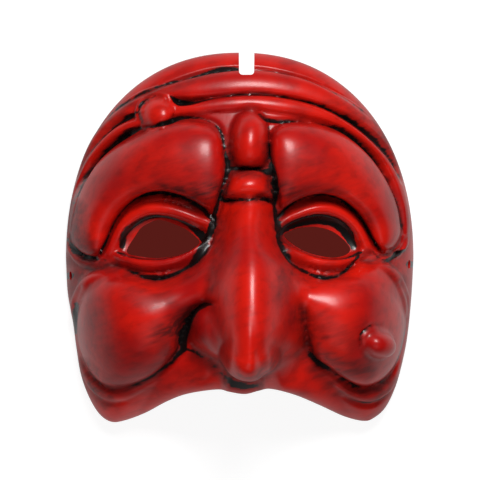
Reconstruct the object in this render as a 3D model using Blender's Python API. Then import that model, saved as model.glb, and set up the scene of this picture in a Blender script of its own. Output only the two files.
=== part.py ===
"""Commedia half mask: one moulded shell, lying face up on the rims of its two sides.

The row frame is the mask's own: +X to the right of someone facing it, +Y up the forehead, +Z out of
the face. The origin is on the table, under the middle of the mask. Sizes here are millimetres.
"""

import math

import bpy
import numpy as np
from mathutils import Vector
from mathutils.bvhtree import BVHTree

MM = 0.001

# The shell as a whole.
MASK_WIDTH = 167.0
MASK_LENGTH = 177.0
CROWN_HEIGHT = 56.0
WALL = 2.5
TOP_EDGE_LIFT = 30.0
LIP_EDGE_LIFT = 44.0
CHIN_TIP_LIFT = 5.0
SIDE_LEAN = 18.0

# The nose's height over the dome at its tip, how far its tip hangs down towards the lip, and how far
# above the crown it starts to hang.
NOSE_PROJECTION = 43.0
NOSE_DROOP = 8.5
HANG_START = 6.0

# What is cut through the shell.
NOTCH_WIDTH = 7.2
NOTCH_DEPTH = 10.6
NOTCH_CENTRE = 3.3
STRAP_HOLE_DIAMETER = 4.2
STRAP_HOLE_HEIGHT = 13.0
LEFT_STRAP_HOLE_Y = -18.5
RIGHT_STRAP_HOLE_Y = -13.0

# The mesh.
ROWS = 156
COLUMNS = 150
INNER_STEP = 2
TRIANGLES = 8700

# Places and sizes of the carving are shares of the mask: x, radius and height in hundredths of half
# its width, y in hundredths of half its length.
ACROSS = MASK_WIDTH / 200
ALONG = MASK_LENGTH / 200

# The lower half of the outline, from the right side through the chin tips and the lip to the left.
LOWER_OUTLINE = (
    (100, -12), (99, -30), (97, -50), (94.5, -64), (90, -80), (84, -92), (77, -98), (71, -99.5),
    (60, -97), (46, -91), (32, -85.5), (18, -82.2), (11, -83.2), (3, -85), (-6, -83.8), (-13, -82.5),
    (-30, -84.8), (-42, -89), (-54, -95), (-66, -99.2), (-74, -100), (-81, -95.5), (-87, -86),
    (-91.5, -74), (-94, -60), (-96, -46), (-99, -30), (-100, -12),
)
UPPER_OUTLINE_CENTRE = -12
UPPER_OUTLINE_POWER = 2.2

# Where the rim lifts off the table: up the top edge, in from both sides of the lip, and how far down
# the outline the lip's lift and the chins' own set in.
TOP_RISE = (38, 98)
LIP_CENTRE = 3
LIP_RISE = (8, 76)
LIP_FRONT = (78, 84)
CHIN_FRONT = (76, 96)
LOWER_EDGE = -60

# The rest of the rim is modelled a little under the table and cut flat on it.
SUNK_RIM = 2.5

# How far round a form it is worked out, beyond its own edge.
MARGIN = 8.0

# The raster the inside is worked out on, and how far it is kept from following the narrow creases.
CELL = 0.8
INNER_REACH = 2.4
INNER_SLACK = 1.6
INNER_SPREAD = 0.88
OUTSIDE = -60.0

# How far to either side the outline's slant is measured, in radians, and the most it thickens the rim.
SLANT_STEP = 0.06
STEEPEST_SLANT = 1.5

# The dome takes on the outline's corners from this share of the way out.
CALM_SHARE = 0.2

# Fine carving stands along the normals of a softened surface, leaned this much towards straight up.
SOFTENING_ROWS = 12
UPWARD_LEAN = 0.8

# The carving dies out over this last share of the way to the edge.
EDGE_FADE = 0.16

# Creases are cut to this share of their depth in the steep sides, which are no thicker than the rest.
SIDE_DEPTH = 0.4
SIDE_FADE = 0.35


def spline(points, closed=False, per_span=6):
    """A Catmull-Rom curve through the points, read at even steps, with every column carried along."""
    points = np.array(points, float)
    if closed:
        points = np.vstack([points[-1:], points, points[:2]])
    else:
        points = np.vstack([2 * points[0] - points[1], points, 2 * points[-1] - points[-2]])
    t = (np.arange(per_span) / per_span)[:, None]
    parts = []
    for a, b, c, d in zip(points[:-3], points[1:-2], points[2:-1], points[3:]):
        parts.append(
            b + t * (c - a) / 2 + t**2 * (a - 2.5 * b + 2 * c - d / 2) + t**3 * (1.5 * (b - c) + (d - a) / 2)
        )
    if not closed:
        parts.append(points[-2:-1])
    return np.vstack(parts)


def in_millimetres(points):
    """Control points (x, y, radius, height) from shares of the mask to millimetres."""
    scale = np.array([ACROSS, ALONG, ACROSS, ACROSS])
    points = np.array(points, float)
    return points * scale[: points.shape[1]]


def smooth_step(value, low, high):
    """0 below low, 1 above high, and a smooth rise between."""
    t = np.clip((value - low) / (high - low), 0, 1)
    return t * t * (3 - 2 * t)


def soft_max(a, b, blend):
    """The greater of a and b, with a fillet of about this size where they cross."""
    near = np.clip(blend - np.abs(a - b), 0, None) / blend
    return np.maximum(a, b) + near * near * blend / 4


class Stroke:
    """A form drawn along a line: each point gives its place, its half width and its height there."""

    def __init__(self, *points, top=2.0, side=0.5, blend=1.2):
        self.line = spline(in_millimetres(points))
        self.top = top
        self.side = side
        self.blend = blend

    def reach(self, plan):
        """For each plan point, its share of the half width, and the height and half width found there."""
        margin = self.line[:, 2].max() + MARGIN
        low, high = self.line[:, :2].min(0) - margin, self.line[:, :2].max(0) + margin
        near = ((plan > low) & (plan < high)).all(1)
        points = plan[near]
        nearest = np.full(len(points), 99.0)
        found = np.zeros(len(points))
        edge = np.ones(len(points))
        for a, b in zip(self.line[:-1], self.line[1:]):
            run, wider = b[:2] - a[:2], b[2] - a[2]
            away = points - a[:2]
            along = away @ run
            t = along * a[2] + wider * (away**2).sum(1)
            t = np.clip(t / np.maximum(run @ run * a[2] + along * wider, 1e-6), 0, 1)
            off = np.linalg.norm(away - t[:, None] * run, axis=1)
            radius = np.maximum(a[2] + wider * t, 0.05)
            share = off / radius
            closer = share < nearest
            nearest = np.where(closer, share, nearest)
            found = np.where(closer, a[3] + (b[3] - a[3]) * t, found)
            edge = np.where(closer, radius, edge)
        result = np.tile([99.0, 0.0, 1.0], (len(plan), 1))
        result[near] = np.column_stack([nearest, found, edge])
        return result.T

    def swell(self, plan):
        """Height of the form over the ground, and nothing outside it."""
        share, height, _ = self.reach(plan)
        return height * (1 - np.clip(share, 0, 1) ** self.top) ** self.side

    def height(self, plan):
        """The same, but falling below zero outside the form, for blending it with what it stands on."""
        share, height, edge = self.reach(plan)
        inside = height * (1 - np.clip(share, 0, 1) ** self.top) ** self.side
        return np.where(share < 1, inside, np.maximum(-(share - 1) * edge, -MARGIN))


class Pillow:
    """A form blown up inside a closed outline, round over a round one, to its full height inside."""

    def __init__(self, *outline, height, fullness=0.5, blend=1.2):
        self.outline = spline(in_millimetres(outline), closed=True, per_span=4)
        self.full_height = height * ACROSS
        self.fullness = fullness
        self.blend = blend

    def height(self, plan):
        """Height over the ground at each plan point, falling below zero outside the outline."""
        low, high = self.outline.min(0) - MARGIN, self.outline.max(0) + MARGIN
        near = ((plan > low) & (plan < high)).all(1)
        result = np.full(len(plan), -MARGIN)
        points = plan[near]
        seen = np.zeros(len(points))
        turned = np.zeros(len(points))
        gap = np.full(len(points), 1e9)
        ends = np.roll(self.outline, -1, axis=0)
        for a, b in zip(self.outline, ends):
            run = (b - a) / np.linalg.norm(b - a)
            first, last = (a - points) @ run, (b - points) @ run
            off = np.abs((points - a) @ np.array([-run[1], run[0]])) + 1e-6
            seen += (np.arctan2(last, off) - np.arctan2(first, off)) / off
            gap = np.minimum(gap, np.hypot(off, np.maximum(np.maximum(first, -last), 0)))
            one, two = a - points, b - points
            turned += np.arctan2(one[:, 0] * two[:, 1] - one[:, 1] * two[:, 0], (one * two).sum(1))
        swell = math.pi / seen
        inside = np.abs(turned) > math.pi
        peak = swell[inside].max() if inside.any() else 1.0
        rise = self.full_height * (swell / peak) ** self.fullness
        result[near] = np.where(inside, rise, np.maximum(-gap, -MARGIN))
        return result


# Broad swells and hollows under everything else, with soft edges: the eye sockets, the slopes beside
# the nose, and the mouth of the mask.
HOLLOWS = (
    Stroke((-68, 2, 22, -5), (-45, 3, 26, -9), (-22, 5, 20, -7), top=2, side=2),
    Stroke((68, 0, 22, -5), (45, 3, 26, -9), (24, 5, 20, -7), top=2, side=2),
    Stroke((5, 10, 26, 2), (6, -20, 36, 9), (6, -45, 44, 11), top=2, side=2),
    Stroke((-40, -82, 20, 2), (3, -74, 22, 4), (44, -82, 20, 2), top=2, side=2),
    Stroke((5, 75, 40, 3), (5, 50, 40, 5), (5, 30, 34, 4), top=2, side=2),
)

# Full forms with edges of their own, each over the ground or its neighbours.
MASSES = (
    # The brows.
    Pillow(
        (-12, 57), (-20, 61.5), (-31, 63), (-45, 61), (-60, 55), (-75, 46.5), (-88, 34), (-95, 20),
        (-97.5, 5), (-95, -5), (-88, -10), (-81.5, -9.5), (-77.5, -3), (-73, 8), (-66, 17), (-56, 22.5),
        (-43, 24), (-30, 20), (-18, 15), (-12.5, 21), (-8.5, 33), (-8.5, 46), height=20.5,
        fullness=0.35, blend=1.6,
    ),
    Pillow(
        (19, 57), (26, 61.5), (38, 62), (50, 59.5), (63, 54), (75, 44.5), (85, 31), (91, 17), (93, 4),
        (90, -4), (84, -7), (78.5, -4), (74, 5), (67.5, 14), (58, 20.5), (47, 22.5), (35, 20.5),
        (25, 16), (21.5, 24), (18, 38), (17.5, 48), height=20.5, fullness=0.35, blend=1.6,
    ),
    # The long bump between the brows, and the roll over the root of the nose.
    Pillow(
        (6, 68.5), (13, 66.5), (17, 60), (17.2, 48), (14.5, 40), (7, 37.2), (-1, 39), (-4.8, 47),
        (-4.8, 57), (-1, 65.5), height=19, fullness=0.5, blend=1.5,
    ),
    Pillow(
        (-9.5, 21.5), (-8, 27), (-4, 33.5), (3.5, 36.6), (11.5, 36.4), (16, 33), (18.8, 27), (19.8, 21),
        (12, 20.6), (5, 20.2), (-3, 20.2), height=16, fullness=0.5,
    ),
    # The eyes' swell under the lids.
    Pillow(
        (-15, 8), (-24, 16), (-33, 20), (-42, 22), (-51, 22), (-59, 19.5), (-66, 14.5), (-71, 8),
        (-75, 0), (-78, -7), (-72, -14), (-64, -18), (-55, -20.5), (-47, -21), (-38, -19), (-29, -15),
        (-22, -9.5), (-17.5, -1), height=3, fullness=0.4, blend=0.8,
    ),
    Pillow(
        (22, 8), (28, 15.5), (38, 19.7), (48, 20.7), (57, 18.5), (65, 13), (71, 6), (76, -2), (74, -9),
        (66, -15), (58, -19.5), (50, -21), (42, -19.5), (34, -15.5), (28, -9), (23, -1), height=3,
        fullness=0.4, blend=0.8,
    ),
    # The cheeks: each a broad swell from the lid and the nose, and its full edge lower down.
    Pillow(
        (-89, -20), (-76, -16.5), (-66, -19), (-56, -22), (-46, -22.8), (-36, -20.3), (-27, -14.5),
        (-18, -5), (-6, -12), (-4, -26), (-12, -36), (-25, -41), (-31, -47), (-33.5, -54), (-35, -61),
        (-43, -70.5), (-52, -76.5), (-63, -80), (-73, -81), (-81, -78.5), (-88, -70.5), (-92.5, -60),
        (-94, -48), (-94, -36), (-93, -24), height=27, fullness=0.8, blend=4,
    ),
    Pillow(
        (-68, -22), (-56, -24.5), (-46, -31), (-38, -42), (-36, -58), (-42.5, -69), (-52, -76),
        (-63, -79.8), (-73, -80.8), (-81, -78.2), (-87.5, -70), (-91.8, -60), (-93.3, -48),
        (-91.5, -36), (-82, -26), height=23, fullness=0.34, blend=9,
    ),
    Pillow(
        (91, -18), (82, -14), (70, -13.5), (62, -17.5), (54, -21.3), (46, -22), (38, -19.5),
        (30, -13.8), (23.5, -4), (13, -12), (11, -26), (18, -36), (31, -41), (37, -48), (39.5, -56),
        (42, -65), (50, -71), (59, -77), (67, -80.5), (75, -80.8), (83, -77), (90, -69), (94, -58),
        (95.5, -46), (95.5, -34), (94, -22), height=27, fullness=0.8, blend=4,
    ),
    Pillow(
        (74, -23), (60, -21), (47, -23.5), (39.5, -31), (38.5, -45), (40.5, -57), (43.5, -65.5),
        (51, -71.2), (60, -77.2), (68, -80.3), (75, -80.6), (83, -76.8), (89.5, -68.5), (93.5, -58),
        (94.8, -47), (92.5, -38), (85.5, -29), height=23, fullness=0.34, blend=9,
    ),
    # The nose's wings, its bridge and the ball at its tip.
    Pillow(
        (-14, -33), (-21, -35.5), (-27, -40.5), (-29.5, -48), (-28, -55.5), (-22.5, -61), (-14, -66),
        (-4, -70), (6, -60), (4, -40), (-4, -34), height=25, fullness=0.46, blend=4,
    ),
    Pillow(
        (20, -35), (27.5, -37), (33.5, -42), (37, -49.5), (36.5, -57), (32.5, -62), (25, -65),
        (16, -67), (6, -60), (8, -40), (14, -34.5), height=25, fullness=0.46, blend=4,
    ),
)

NOSE_BRIDGE = Stroke(
    (6, 18, 12, 13), (6.5, 6, 19, 23), (7, -9, 26, 33), (7.5, -25, 33, 41.5), (7.5, -40, 35, 47),
    (7, -50, 29, 49), (6.5, -56, 20, 48), top=1.9, side=1.3, blend=5,
)
NOSE_BALL = Stroke(
    (6.5, -46, 12, 38), (6, -54, 16.5, 46), (5.8, -59.5, 18.5, 50), top=2.3, side=0.5, blend=8,
)
NOSE_SHARE = 52 * ACROSS

# A bump that stands on the forms: the ball of the left wart.
WARTS = (
    Stroke((-47.9, 67, 8.8, 9.5), (-47.2, 67, 8.8, 9.5), top=2, side=0.5, blend=0.8),
)

# Fine carving along the surface: rolls stand out, and creases are cut in.
ROLLS = (
    # The forehead's broad roll and the thin one under it, left of the wart and right of it.
    Stroke(
        (-95, 22, 2, 1), (-91, 36, 3.2, 3), (-86, 46, 4, 3.6), (-79, 56, 4.5, 4), (-71, 63.5, 4.8, 4),
        (-63, 70.5, 4.4, 3.6), (-55, 75.8, 3.8, 3), (-47, 78.6, 3.6, 3), (-38, 79.6, 4.6, 3.4),
        (-27, 80.8, 6.2, 4), (-10, 83, 7, 4.2), (8, 83.8, 7, 4.2), (24, 82.3, 6.8, 4), (40, 79, 6.5, 4),
        (54, 73, 6, 4), (66, 66, 5.5, 4), (77, 56, 5, 4), (86, 43.5, 4, 3), (92, 30, 3, 1),
    ),
    Stroke(
        (-37, 68.5, 3, 2.5), (-26, 70, 4, 3.6), (-10, 72.3, 4.6, 3.8), (8, 73, 4.8, 3.8),
        (24, 71.5, 4.6, 3.8), (40, 68.5, 4.4, 3.8), (54, 64, 4, 3.8), (66, 57.5, 3.6, 3.8),
        (77, 48.5, 3.3, 3.6), (86, 37, 3, 3.4), (92, 24, 2.6, 3), (95, 10, 2.2, 2.6), (95, -2, 2, 1.5),
    ),
    Stroke(
        (-57, 62.5, 2.5, 3), (-66, 59.3, 3, 3.6), (-75, 54, 3, 3.6), (-83, 46, 2.8, 3.4),
        (-89, 36.5, 2.4, 3), (-94, 25, 2, 2.6), (-97, 13, 1.6, 2), (-99, 0, 1.4, 1.5),
    ),
    # The ring round the left wart's ball.
    Stroke(
        (-51, 58.2, 1.4, 1), (-55.5, 61.5, 2, 2.6), (-57.8, 67.3, 2.3, 3.4), (-55, 74, 2.3, 3.4),
        (-47.5, 77, 2.3, 3.2), (-40.2, 74.5, 2.2, 3), (-36.8, 69, 2.2, 2.4),
    ),
    # The upper lids.
    Stroke(
        (-17, 7.5, 2, 1.5), (-25, 10.2, 3, 3.4), (-34, 13.4, 3.4, 4.2), (-43, 15.3, 3.6, 4.4),
        (-52, 15.2, 3.6, 4.4), (-60, 12, 3.6, 4.2), (-66.5, 6.5, 3.4, 4), (-71, 0, 3.2, 3.6),
        (-75, -7, 3, 3), (-81, -13.5, 2.6, 1.5),
    ),
    Stroke(
        (25, 8.5, 2, 1.5), (32, 12, 3, 3.4), (40, 15, 3.4, 4.2), (48, 16, 3.6, 4.4),
        (56, 14.2, 3.6, 4.4), (63, 10, 3.6, 4.2), (68.5, 3.5, 3.4, 4), (73, -4, 3.2, 3.6),
        (79, -8.5, 3, 3), (87, -10, 2.6, 1.5),
    ),
    # The lower lids.
    Stroke(
        (-21, -2.5, 1.6, 1.2), (-26, -7.2, 2.7, 3.6), (-36, -12.2, 3, 4.6), (-47, -14.4, 3.1, 4.8),
        (-58, -14, 3.1, 4.6), (-66, -11.8, 2.7, 3), (-73, -9, 2, 1),
    ),
    Stroke(
        (26.5, -4, 1.6, 1.2), (31, -8.2, 2.7, 3.6), (40, -12, 3, 4.6), (49, -14, 3.1, 4.8),
        (58, -14.2, 3.1, 4.6), (66, -11.6, 2.7, 3), (71.5, -8, 2, 1),
    ),
    # The folds round the outer ends of the brows and down beside the cheeks.
    Stroke(
        (-99, 2, 1.4, 1.5), (-97, -6, 2, 2.6), (-91.5, -12.5, 2.6, 3), (-83, -14.5, 3, 2),
        (-74, -12.5, 2.4, 1),
    ),
    Stroke(
        (96, 2, 1.4, 1.5), (94, -4.5, 2.2, 2.8), (88, -10, 2.4, 2.6), (80, -12, 2.6, 2),
        (70, -9.5, 2.4, 1),
    ),
    Stroke(
        (-80, -19.5, 2, 1), (-87, -23, 2.4, 2.4), (-92.5, -30, 2.4, 2.8), (-95.8, -40, 2, 2.4),
        (-96, -52, 1.4, 1),
    ),
    Stroke(
        (78, -13, 2, 1), (85, -16.5, 2.4, 2.4), (91, -23, 2.4, 2.8), (95, -32, 2.2, 2.4),
        (97.5, -44, 1.4, 1),
    ),
    # The right wart, whose ball stands out of a low foot.
    Stroke((78.6, -57.2, 9.4, 3), (79.2, -57.4, 9.4, 3), top=3, side=0.5),
    Stroke((79.2, -57.8, 7.6, 12), (79.8, -58, 7.6, 12), top=2, side=0.5),
    # The smile's folds under the cheeks.
    Stroke(
        (56, -79.5, 1.5, 1), (65, -84.5, 2.8, 2.6), (74, -86.3, 3.2, 3), (83, -83, 3, 2.8),
        (89.5, -76.5, 2.4, 2), (93.5, -68, 1.6, 1),
    ),
    Stroke(
        (-56, -82, 1.5, 0.5), (-66, -85.3, 2.8, 1.2), (-75, -85.8, 3, 1.5), (-84, -80.5, 2.8, 1.8),
        (-90, -71.5, 2.2, 1.6), (-93.5, -62, 1.4, 1),
    ),
)

CREASES = (
    # Over the forehead's broad roll, and under it.
    Stroke(
        (-93, 33, 1.2, 0.5), (-87, 50, 1.8, 2), (-77, 62, 1.8, 2), (-64, 72.5, 1.8, 2.2),
        (-48, 80, 1.8, 2.2), (-32, 85.8, 2, 2.8), (-18, 89.5, 2.2, 3.2), (-4, 91.2, 2, 3),
        (10, 91.3, 1.6, 2.6), (24, 89.3, 1.5, 2.4), (40, 85, 1.6, 2.6), (52, 79.5, 1.8, 2.6),
        (62, 73.5, 1.8, 1.6), (74, 64, 1.6, 0.8), top=1.2, side=1.2,
    ),
    Stroke(
        (-40, 75.5, 1, 1), (-36, 73.5, 3, 4.5), (-28, 73.3, 2.8, 4), (-16, 75, 1.8, 2.6),
        (0, 77, 1.7, 2.6), (14, 77.3, 1.7, 2.6), (30, 75.2, 1.7, 2.8), (46, 71, 1.9, 3.2),
        (58, 65.8, 2.5, 4.2), (70, 58, 2.7, 4.6), (80, 49, 2.7, 4.6), (87, 40, 2.2, 3.6),
        (92, 29, 1.4, 1), top=1.2, side=1.2,
    ),
    # Left of the wart: between the broad roll and the thin one, and between that and the brow.
    Stroke(
        (-61, 66.5, 1, 1), (-66, 64, 2.4, 4.2), (-72, 60, 2.4, 4.2), (-80, 52, 1.9, 3.2),
        (-87, 42.5, 1.4, 2.2), (-93, 30, 1, 1.4), top=1.2, side=1.2,
    ),
    Stroke(
        (-58.5, 58, 1, 1), (-64.5, 56, 2.3, 4), (-74, 50, 2.1, 4), (-83, 41.5, 1.8, 3.6),
        (-90, 30.5, 1.5, 3), (-95, 18.5, 1.2, 2.4), (-98, 4, 1, 1.6), top=1.2, side=1.2,
    ),
    # Over the brows.
    Stroke(
        (-48, 60.3, 1.4, 1.6), (-41, 62.5, 1.9, 3.2), (-33, 65, 1.6, 2.4), (-22, 64.8, 1.3, 1.8),
        (-13, 61.3, 1.4, 2), (-9.3, 54, 1.4, 2), (-7.5, 44, 1.8, 2.6), (-6, 37, 2.2, 3),
        (-9.5, 27, 2.2, 3), (-11, 18, 2.4, 3), (-14.5, 9, 2, 2), top=1.2, side=1.2,
    ),
    Stroke(
        (10, 67.5, 1, 1), (16, 63.8, 1.7, 2.8), (23, 63, 1.7, 2.8), (34, 63.4, 1.3, 2),
        (46, 61.8, 1.3, 1.8), (58, 58, 1.3, 1.8), (69, 51, 1.5, 2.4), (79, 41.5, 1.8, 3),
        (87, 29, 1.5, 2.6), (92, 16, 1.2, 2), (94, 2, 1.2, 1.6), top=1.2, side=1.2,
    ),
    Stroke(
        (17, 62, 1.2, 1.4), (17.3, 52, 1.5, 2.2), (17, 42, 2, 3), (19.5, 32, 2.6, 3.6),
        (21, 20, 2.6, 3.6), (21.5, 9, 2, 2.4), top=1.2, side=1.2,
    ),
    # Round the roll over the root of the nose.
    Stroke(
        (-5, 37.5, 1.2, 1.5), (3, 37.3, 1.5, 2.2), (12, 37, 1.4, 1.8), (17, 33, 1.2, 1), top=1.2,
        side=1.2,
    ),
    Stroke(
        (-11, 20, 1.2, 1.5), (-3, 20.3, 1.3, 2), (6, 20.2, 1.3, 2), (13, 22, 1.8, 2.8),
        (20, 18, 1.5, 1.5), top=1.2, side=1.2,
    ),
    # Over the upper lids and under the lower ones.
    Stroke(
        (-14.5, 5, 1.6, 2), (-17, 12, 2, 3), (-25, 17, 2, 3.2), (-34, 20.8, 2.1, 3.6),
        (-43, 22.6, 2.2, 4), (-52, 22.4, 2.1, 3.8), (-60, 19, 1.9, 3.2), (-67, 13.2, 1.8, 2.8),
        (-72, 6, 1.7, 2.8), (-76, -2.5, 1.6, 2.8), (-80.5, -9.5, 1.4, 2), top=1.2, side=1.2,
    ),
    Stroke(
        (21.5, 4, 1.6, 2), (23.5, 11, 2, 3), (30, 16.5, 2, 3.2), (39, 20.3, 2.1, 3.6),
        (48, 21.4, 2.2, 4), (57, 19.3, 2.1, 3.8), (65, 14, 1.9, 3.2), (71, 7, 1.8, 2.8),
        (76, -1.5, 1.6, 2.6), (81.5, -7.5, 1.4, 1.6), top=1.2, side=1.2,
    ),
    Stroke(
        (-15.5, 2, 1.6, 2), (-18.5, -5, 2, 3), (-24, -11.5, 2, 3.2), (-32, -17, 2, 3.4),
        (-41, -20.8, 2.1, 3.8), (-50, -22, 2.1, 3.8), (-58, -20, 2, 3.2), (-66, -16.5, 2.2, 2.6),
        (-73, -15, 1.6, 1), top=1.2, side=1.2,
    ),
    Stroke(
        (22, 1, 1.6, 2), (25.5, -6.5, 2.1, 3.2), (31, -13.5, 2.1, 3.4), (39, -18.7, 2, 3.4),
        (48, -21.2, 2.1, 3.8), (56, -20.5, 2, 3.2), (63, -16.2, 1.8, 2.4), (68, -11.5, 1.4, 1), top=1.2,
        side=1.2,
    ),
    # Beside the thin rolls of the lids.
    Stroke(
        (-24.5, -12, 1.2, 1), (-34, -16, 1.6, 2.4), (-46, -18.2, 1.7, 2.8), (-57, -17.6, 1.6, 2.4),
        (-65, -15, 1.2, 1), top=1.5, side=1.2,
    ),
    Stroke(
        (29.5, -11.8, 1.2, 1), (38, -15.6, 1.6, 2.4), (48, -17.9, 1.7, 2.8), (57, -17.7, 1.6, 2.4),
        (64, -14.5, 1.2, 1), top=1.5, side=1.2,
    ),
    Stroke(
        (-24, 13.8, 1, 0.6), (-34, 17.4, 1.4, 1.6), (-44, 19.4, 1.5, 1.8), (-54, 19, 1.4, 1.4),
        (-62, 15, 1, 0.6), top=1.5, side=1.2,
    ),
    Stroke(
        (31, 14.6, 1, 0.6), (40, 18.4, 1.3, 1.4), (49, 19.4, 1.4, 1.6), (58, 16.6, 1.3, 1.4),
        (66, 9.5, 1, 0.6), top=1.5, side=1.2,
    ),
    # Under the outer ends of the brows.
    Stroke(
        (-98.3, -1, 1, 1), (-95.5, -6.5, 1.8, 3), (-89.5, -10.8, 1.8, 2.6), (-82, -12, 1.6, 1.5),
        top=1.2, side=1.2,
    ),
    Stroke(
        (94.5, -1, 1, 1), (92, -6.3, 1.6, 2.8), (87, -9, 1.8, 2.6), (80, -9.8, 1.6, 1.5), top=1.2,
        side=1.2,
    ),
    Stroke(
        (94, -7.5, 1, 1.5), (90.5, -8.8, 1.7, 3.6), (86, -12.3, 1.6, 2), (82, -14, 1.2, 1), top=1.2,
        side=1.2,
    ),
    # Beside the nose's wings, down round the cheeks and out to the sides.
    Stroke(
        (-14, -33.5, 1.5, 0.6), (-20, -35, 2, 2), (-26.5, -39, 2.4, 3.6), (-30.5, -45, 3, 4.5),
        (-33, -53, 3.4, 4.5), (-34, -61, 2.8, 3.6), (-42, -70.5, 2.4, 3), (-52, -77.2, 2.2, 2.4),
        (-63, -81, 2, 1.6), (-74, -82, 1.6, 1.2), (-84, -77, 1.6, 1.6), (-91, -66, 1.4, 2),
        (-94.5, -52, 1.4, 2.4), (-94.3, -38, 1.5, 2.6), (-90, -27, 1.2, 1), top=1.2, side=1.2,
    ),
    Stroke(
        (34, -44, 1.4, 0.2), (37.5, -50, 1.8, 0.4), (39.5, -58, 2, 1), (42.5, -66, 2.4, 2.6),
        (51, -72.5, 2.6, 3.6), (60, -78.6, 2.6, 3.6), (69, -82.2, 2.2, 3.2), (78, -81, 1.8, 2.6),
        (86.5, -75, 1.6, 2.4), (92.5, -65, 1.4, 2.2), (96, -50, 1.2, 2), (96, -36, 1.2, 2),
        (91, -24.5, 1, 1), top=1.2, side=1.2,
    ),
    # Under the smile's folds.
    Stroke(
        (60, -86.5, 1.5, 0.8), (68, -90, 2.6, 2.2), (77, -90.3, 2.6, 2.4), (86, -84.5, 2, 2),
        (92, -75, 1.4, 1), top=1.5, side=1.5,
    ),
    Stroke(
        (-66, -89, 2, 0.3), (-76, -89.5, 2.8, 0.6), (-84, -85, 2.4, 0.7), (-90.5, -75.5, 1.6, 0.5),
        top=1.5, side=1.5,
    ),
    # Round the balls of the warts.
    Stroke(
        (-52.5, 60, 0.9, 0.4), (-56, 64.2, 1, 1), (-56.6, 68, 1, 1.2), (-53.9, 73.2, 1, 1.2),
        (-48, 75.6, 1, 1), (-42, 74, 0.9, 0.6), top=1.5, side=1.2,
    ),
    Stroke(
        (69, -60, 0.8, 0.4), (69.6, -53.5, 0.9, 1), (74.5, -48.2, 0.9, 1), (81, -47.4, 0.8, 0.5),
        top=1.5, side=1.2,
    ),
)

# The eyes: the hollow inside the lids, and the hole cut in the lower part of its floor.
LEFT_EYE = (
    (-69.5, -8), (-68, 0), (-65.5, 4.3), (-60, 8.6), (-52.5, 11.6), (-44, 11.9), (-35, 9.8), (-26, 6.2),
    (-19, 4), (-20, -1), (-24, -5.2), (-30, -8.8), (-38, -11.2), (-47, -12.3), (-57, -11.7),
    (-65, -10.3),
)
RIGHT_EYE = (
    (22.8, 1.5), (26.6, 6.6), (34.6, 10.6), (46, 12.6), (57.5, 10.2), (64.5, 5.2), (68.3, -0.5),
    (69.5, -7), (65, -10.4), (57.5, -12.1), (46.5, -11.7), (38, -9.6), (30, -5.8), (25.5, -2.2),
)
LEFT_HOLE = (
    (-65, -8), (-60.3, 0.4), (-56.2, 5.5), (-49.5, 8.8), (-44.6, 9.3), (-37.1, 6.9), (-30.4, 4),
    (-24, -0.9), (-23.6, -3.5), (-28.8, -7.4), (-37.1, -10.1), (-47, -11.3), (-57, -10.5),
)
RIGHT_HOLE = (
    (25.4, 1), (30, 3.8), (35, 5.2), (44, 5.6), (53, 3.3), (59.9, -1.4), (63.6, -6.2), (61.5, -9.3),
    (55.3, -11), (48.4, -10.5), (39.2, -8.3), (31.2, -4.3),
)
EYE_HOLLOW_DEPTH = 5.5
EYE_HOLLOW_FULLNESS = 0.3


def outline_of(half_points):
    """The outline as even tables of angle, radius and rim height about the origin, in millimetres."""
    turn = np.linspace(0, math.pi, 80)
    power = 2 / UPPER_OUTLINE_POWER
    upper_x = 100 * np.sign(np.cos(turn)) * np.abs(np.cos(turn)) ** power
    upper_y = UPPER_OUTLINE_CENTRE + (100 - UPPER_OUTLINE_CENTRE) * np.sin(turn) ** power
    lower = spline(half_points)[1:-1]
    x = np.concatenate([upper_x, lower[::-1, 0]])
    y = np.concatenate([upper_y, lower[::-1, 1]])
    rise = TOP_EDGE_LIFT * smooth_step(y, *TOP_RISE)
    lip = LIP_EDGE_LIFT * (1 - smooth_step(np.abs(x - LIP_CENTRE), *LIP_RISE))
    chin = CHIN_TIP_LIFT * smooth_step(-y, *CHIN_FRONT)
    rim = rise + np.where(y < LOWER_EDGE, np.maximum(lip * smooth_step(-y, *LIP_FRONT), chin), 0)
    sunk = -SUNK_RIM * (rim < 0.5)
    angle = np.arctan2(y * ALONG, x * ACROSS)
    order = np.argsort(angle)
    turns = np.linspace(-math.pi, math.pi, 720, endpoint=False)
    full_turn = 2 * math.pi
    radius = np.interp(turns, angle[order], np.hypot(x * ACROSS, y * ALONG)[order], period=full_turn)
    return turns, radius, np.interp(turns, angle[order], (rim + sunk)[order], period=full_turn)


def evened(table, spread=28):
    """A table round the outline with its sharp turns smoothed away."""
    weights = np.exp(-0.5 * (np.arange(-3 * spread, 3 * spread + 1) / spread) ** 2)
    wrapped = np.concatenate([table[-3 * spread :], table, table[: 3 * spread]])
    return np.convolve(wrapped, weights / weights.sum(), "valid")


def plan_grid(rows, columns):
    """Polar share and angle of each vertex of a square grid that is bent to fill a disc."""
    u, v = np.meshgrid(np.linspace(-1, 1, columns), np.linspace(-1, 1, rows))
    p, q = u * np.sqrt(1 - v * v / 2), v * np.sqrt(1 - u * u / 2)
    return np.clip(np.hypot(p, q), 0, 1), np.arctan2(q, p)


def grid_normals(points, rows, columns):
    """Unit normals of a grid of points, facing out of the face."""
    sheet = points.reshape(rows, columns, 3)
    normal = np.cross(np.gradient(sheet, axis=1), np.gradient(sheet, axis=0)).reshape(-1, 3)
    return normal / np.maximum(np.linalg.norm(normal, axis=1, keepdims=True), 1e-9)


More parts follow.
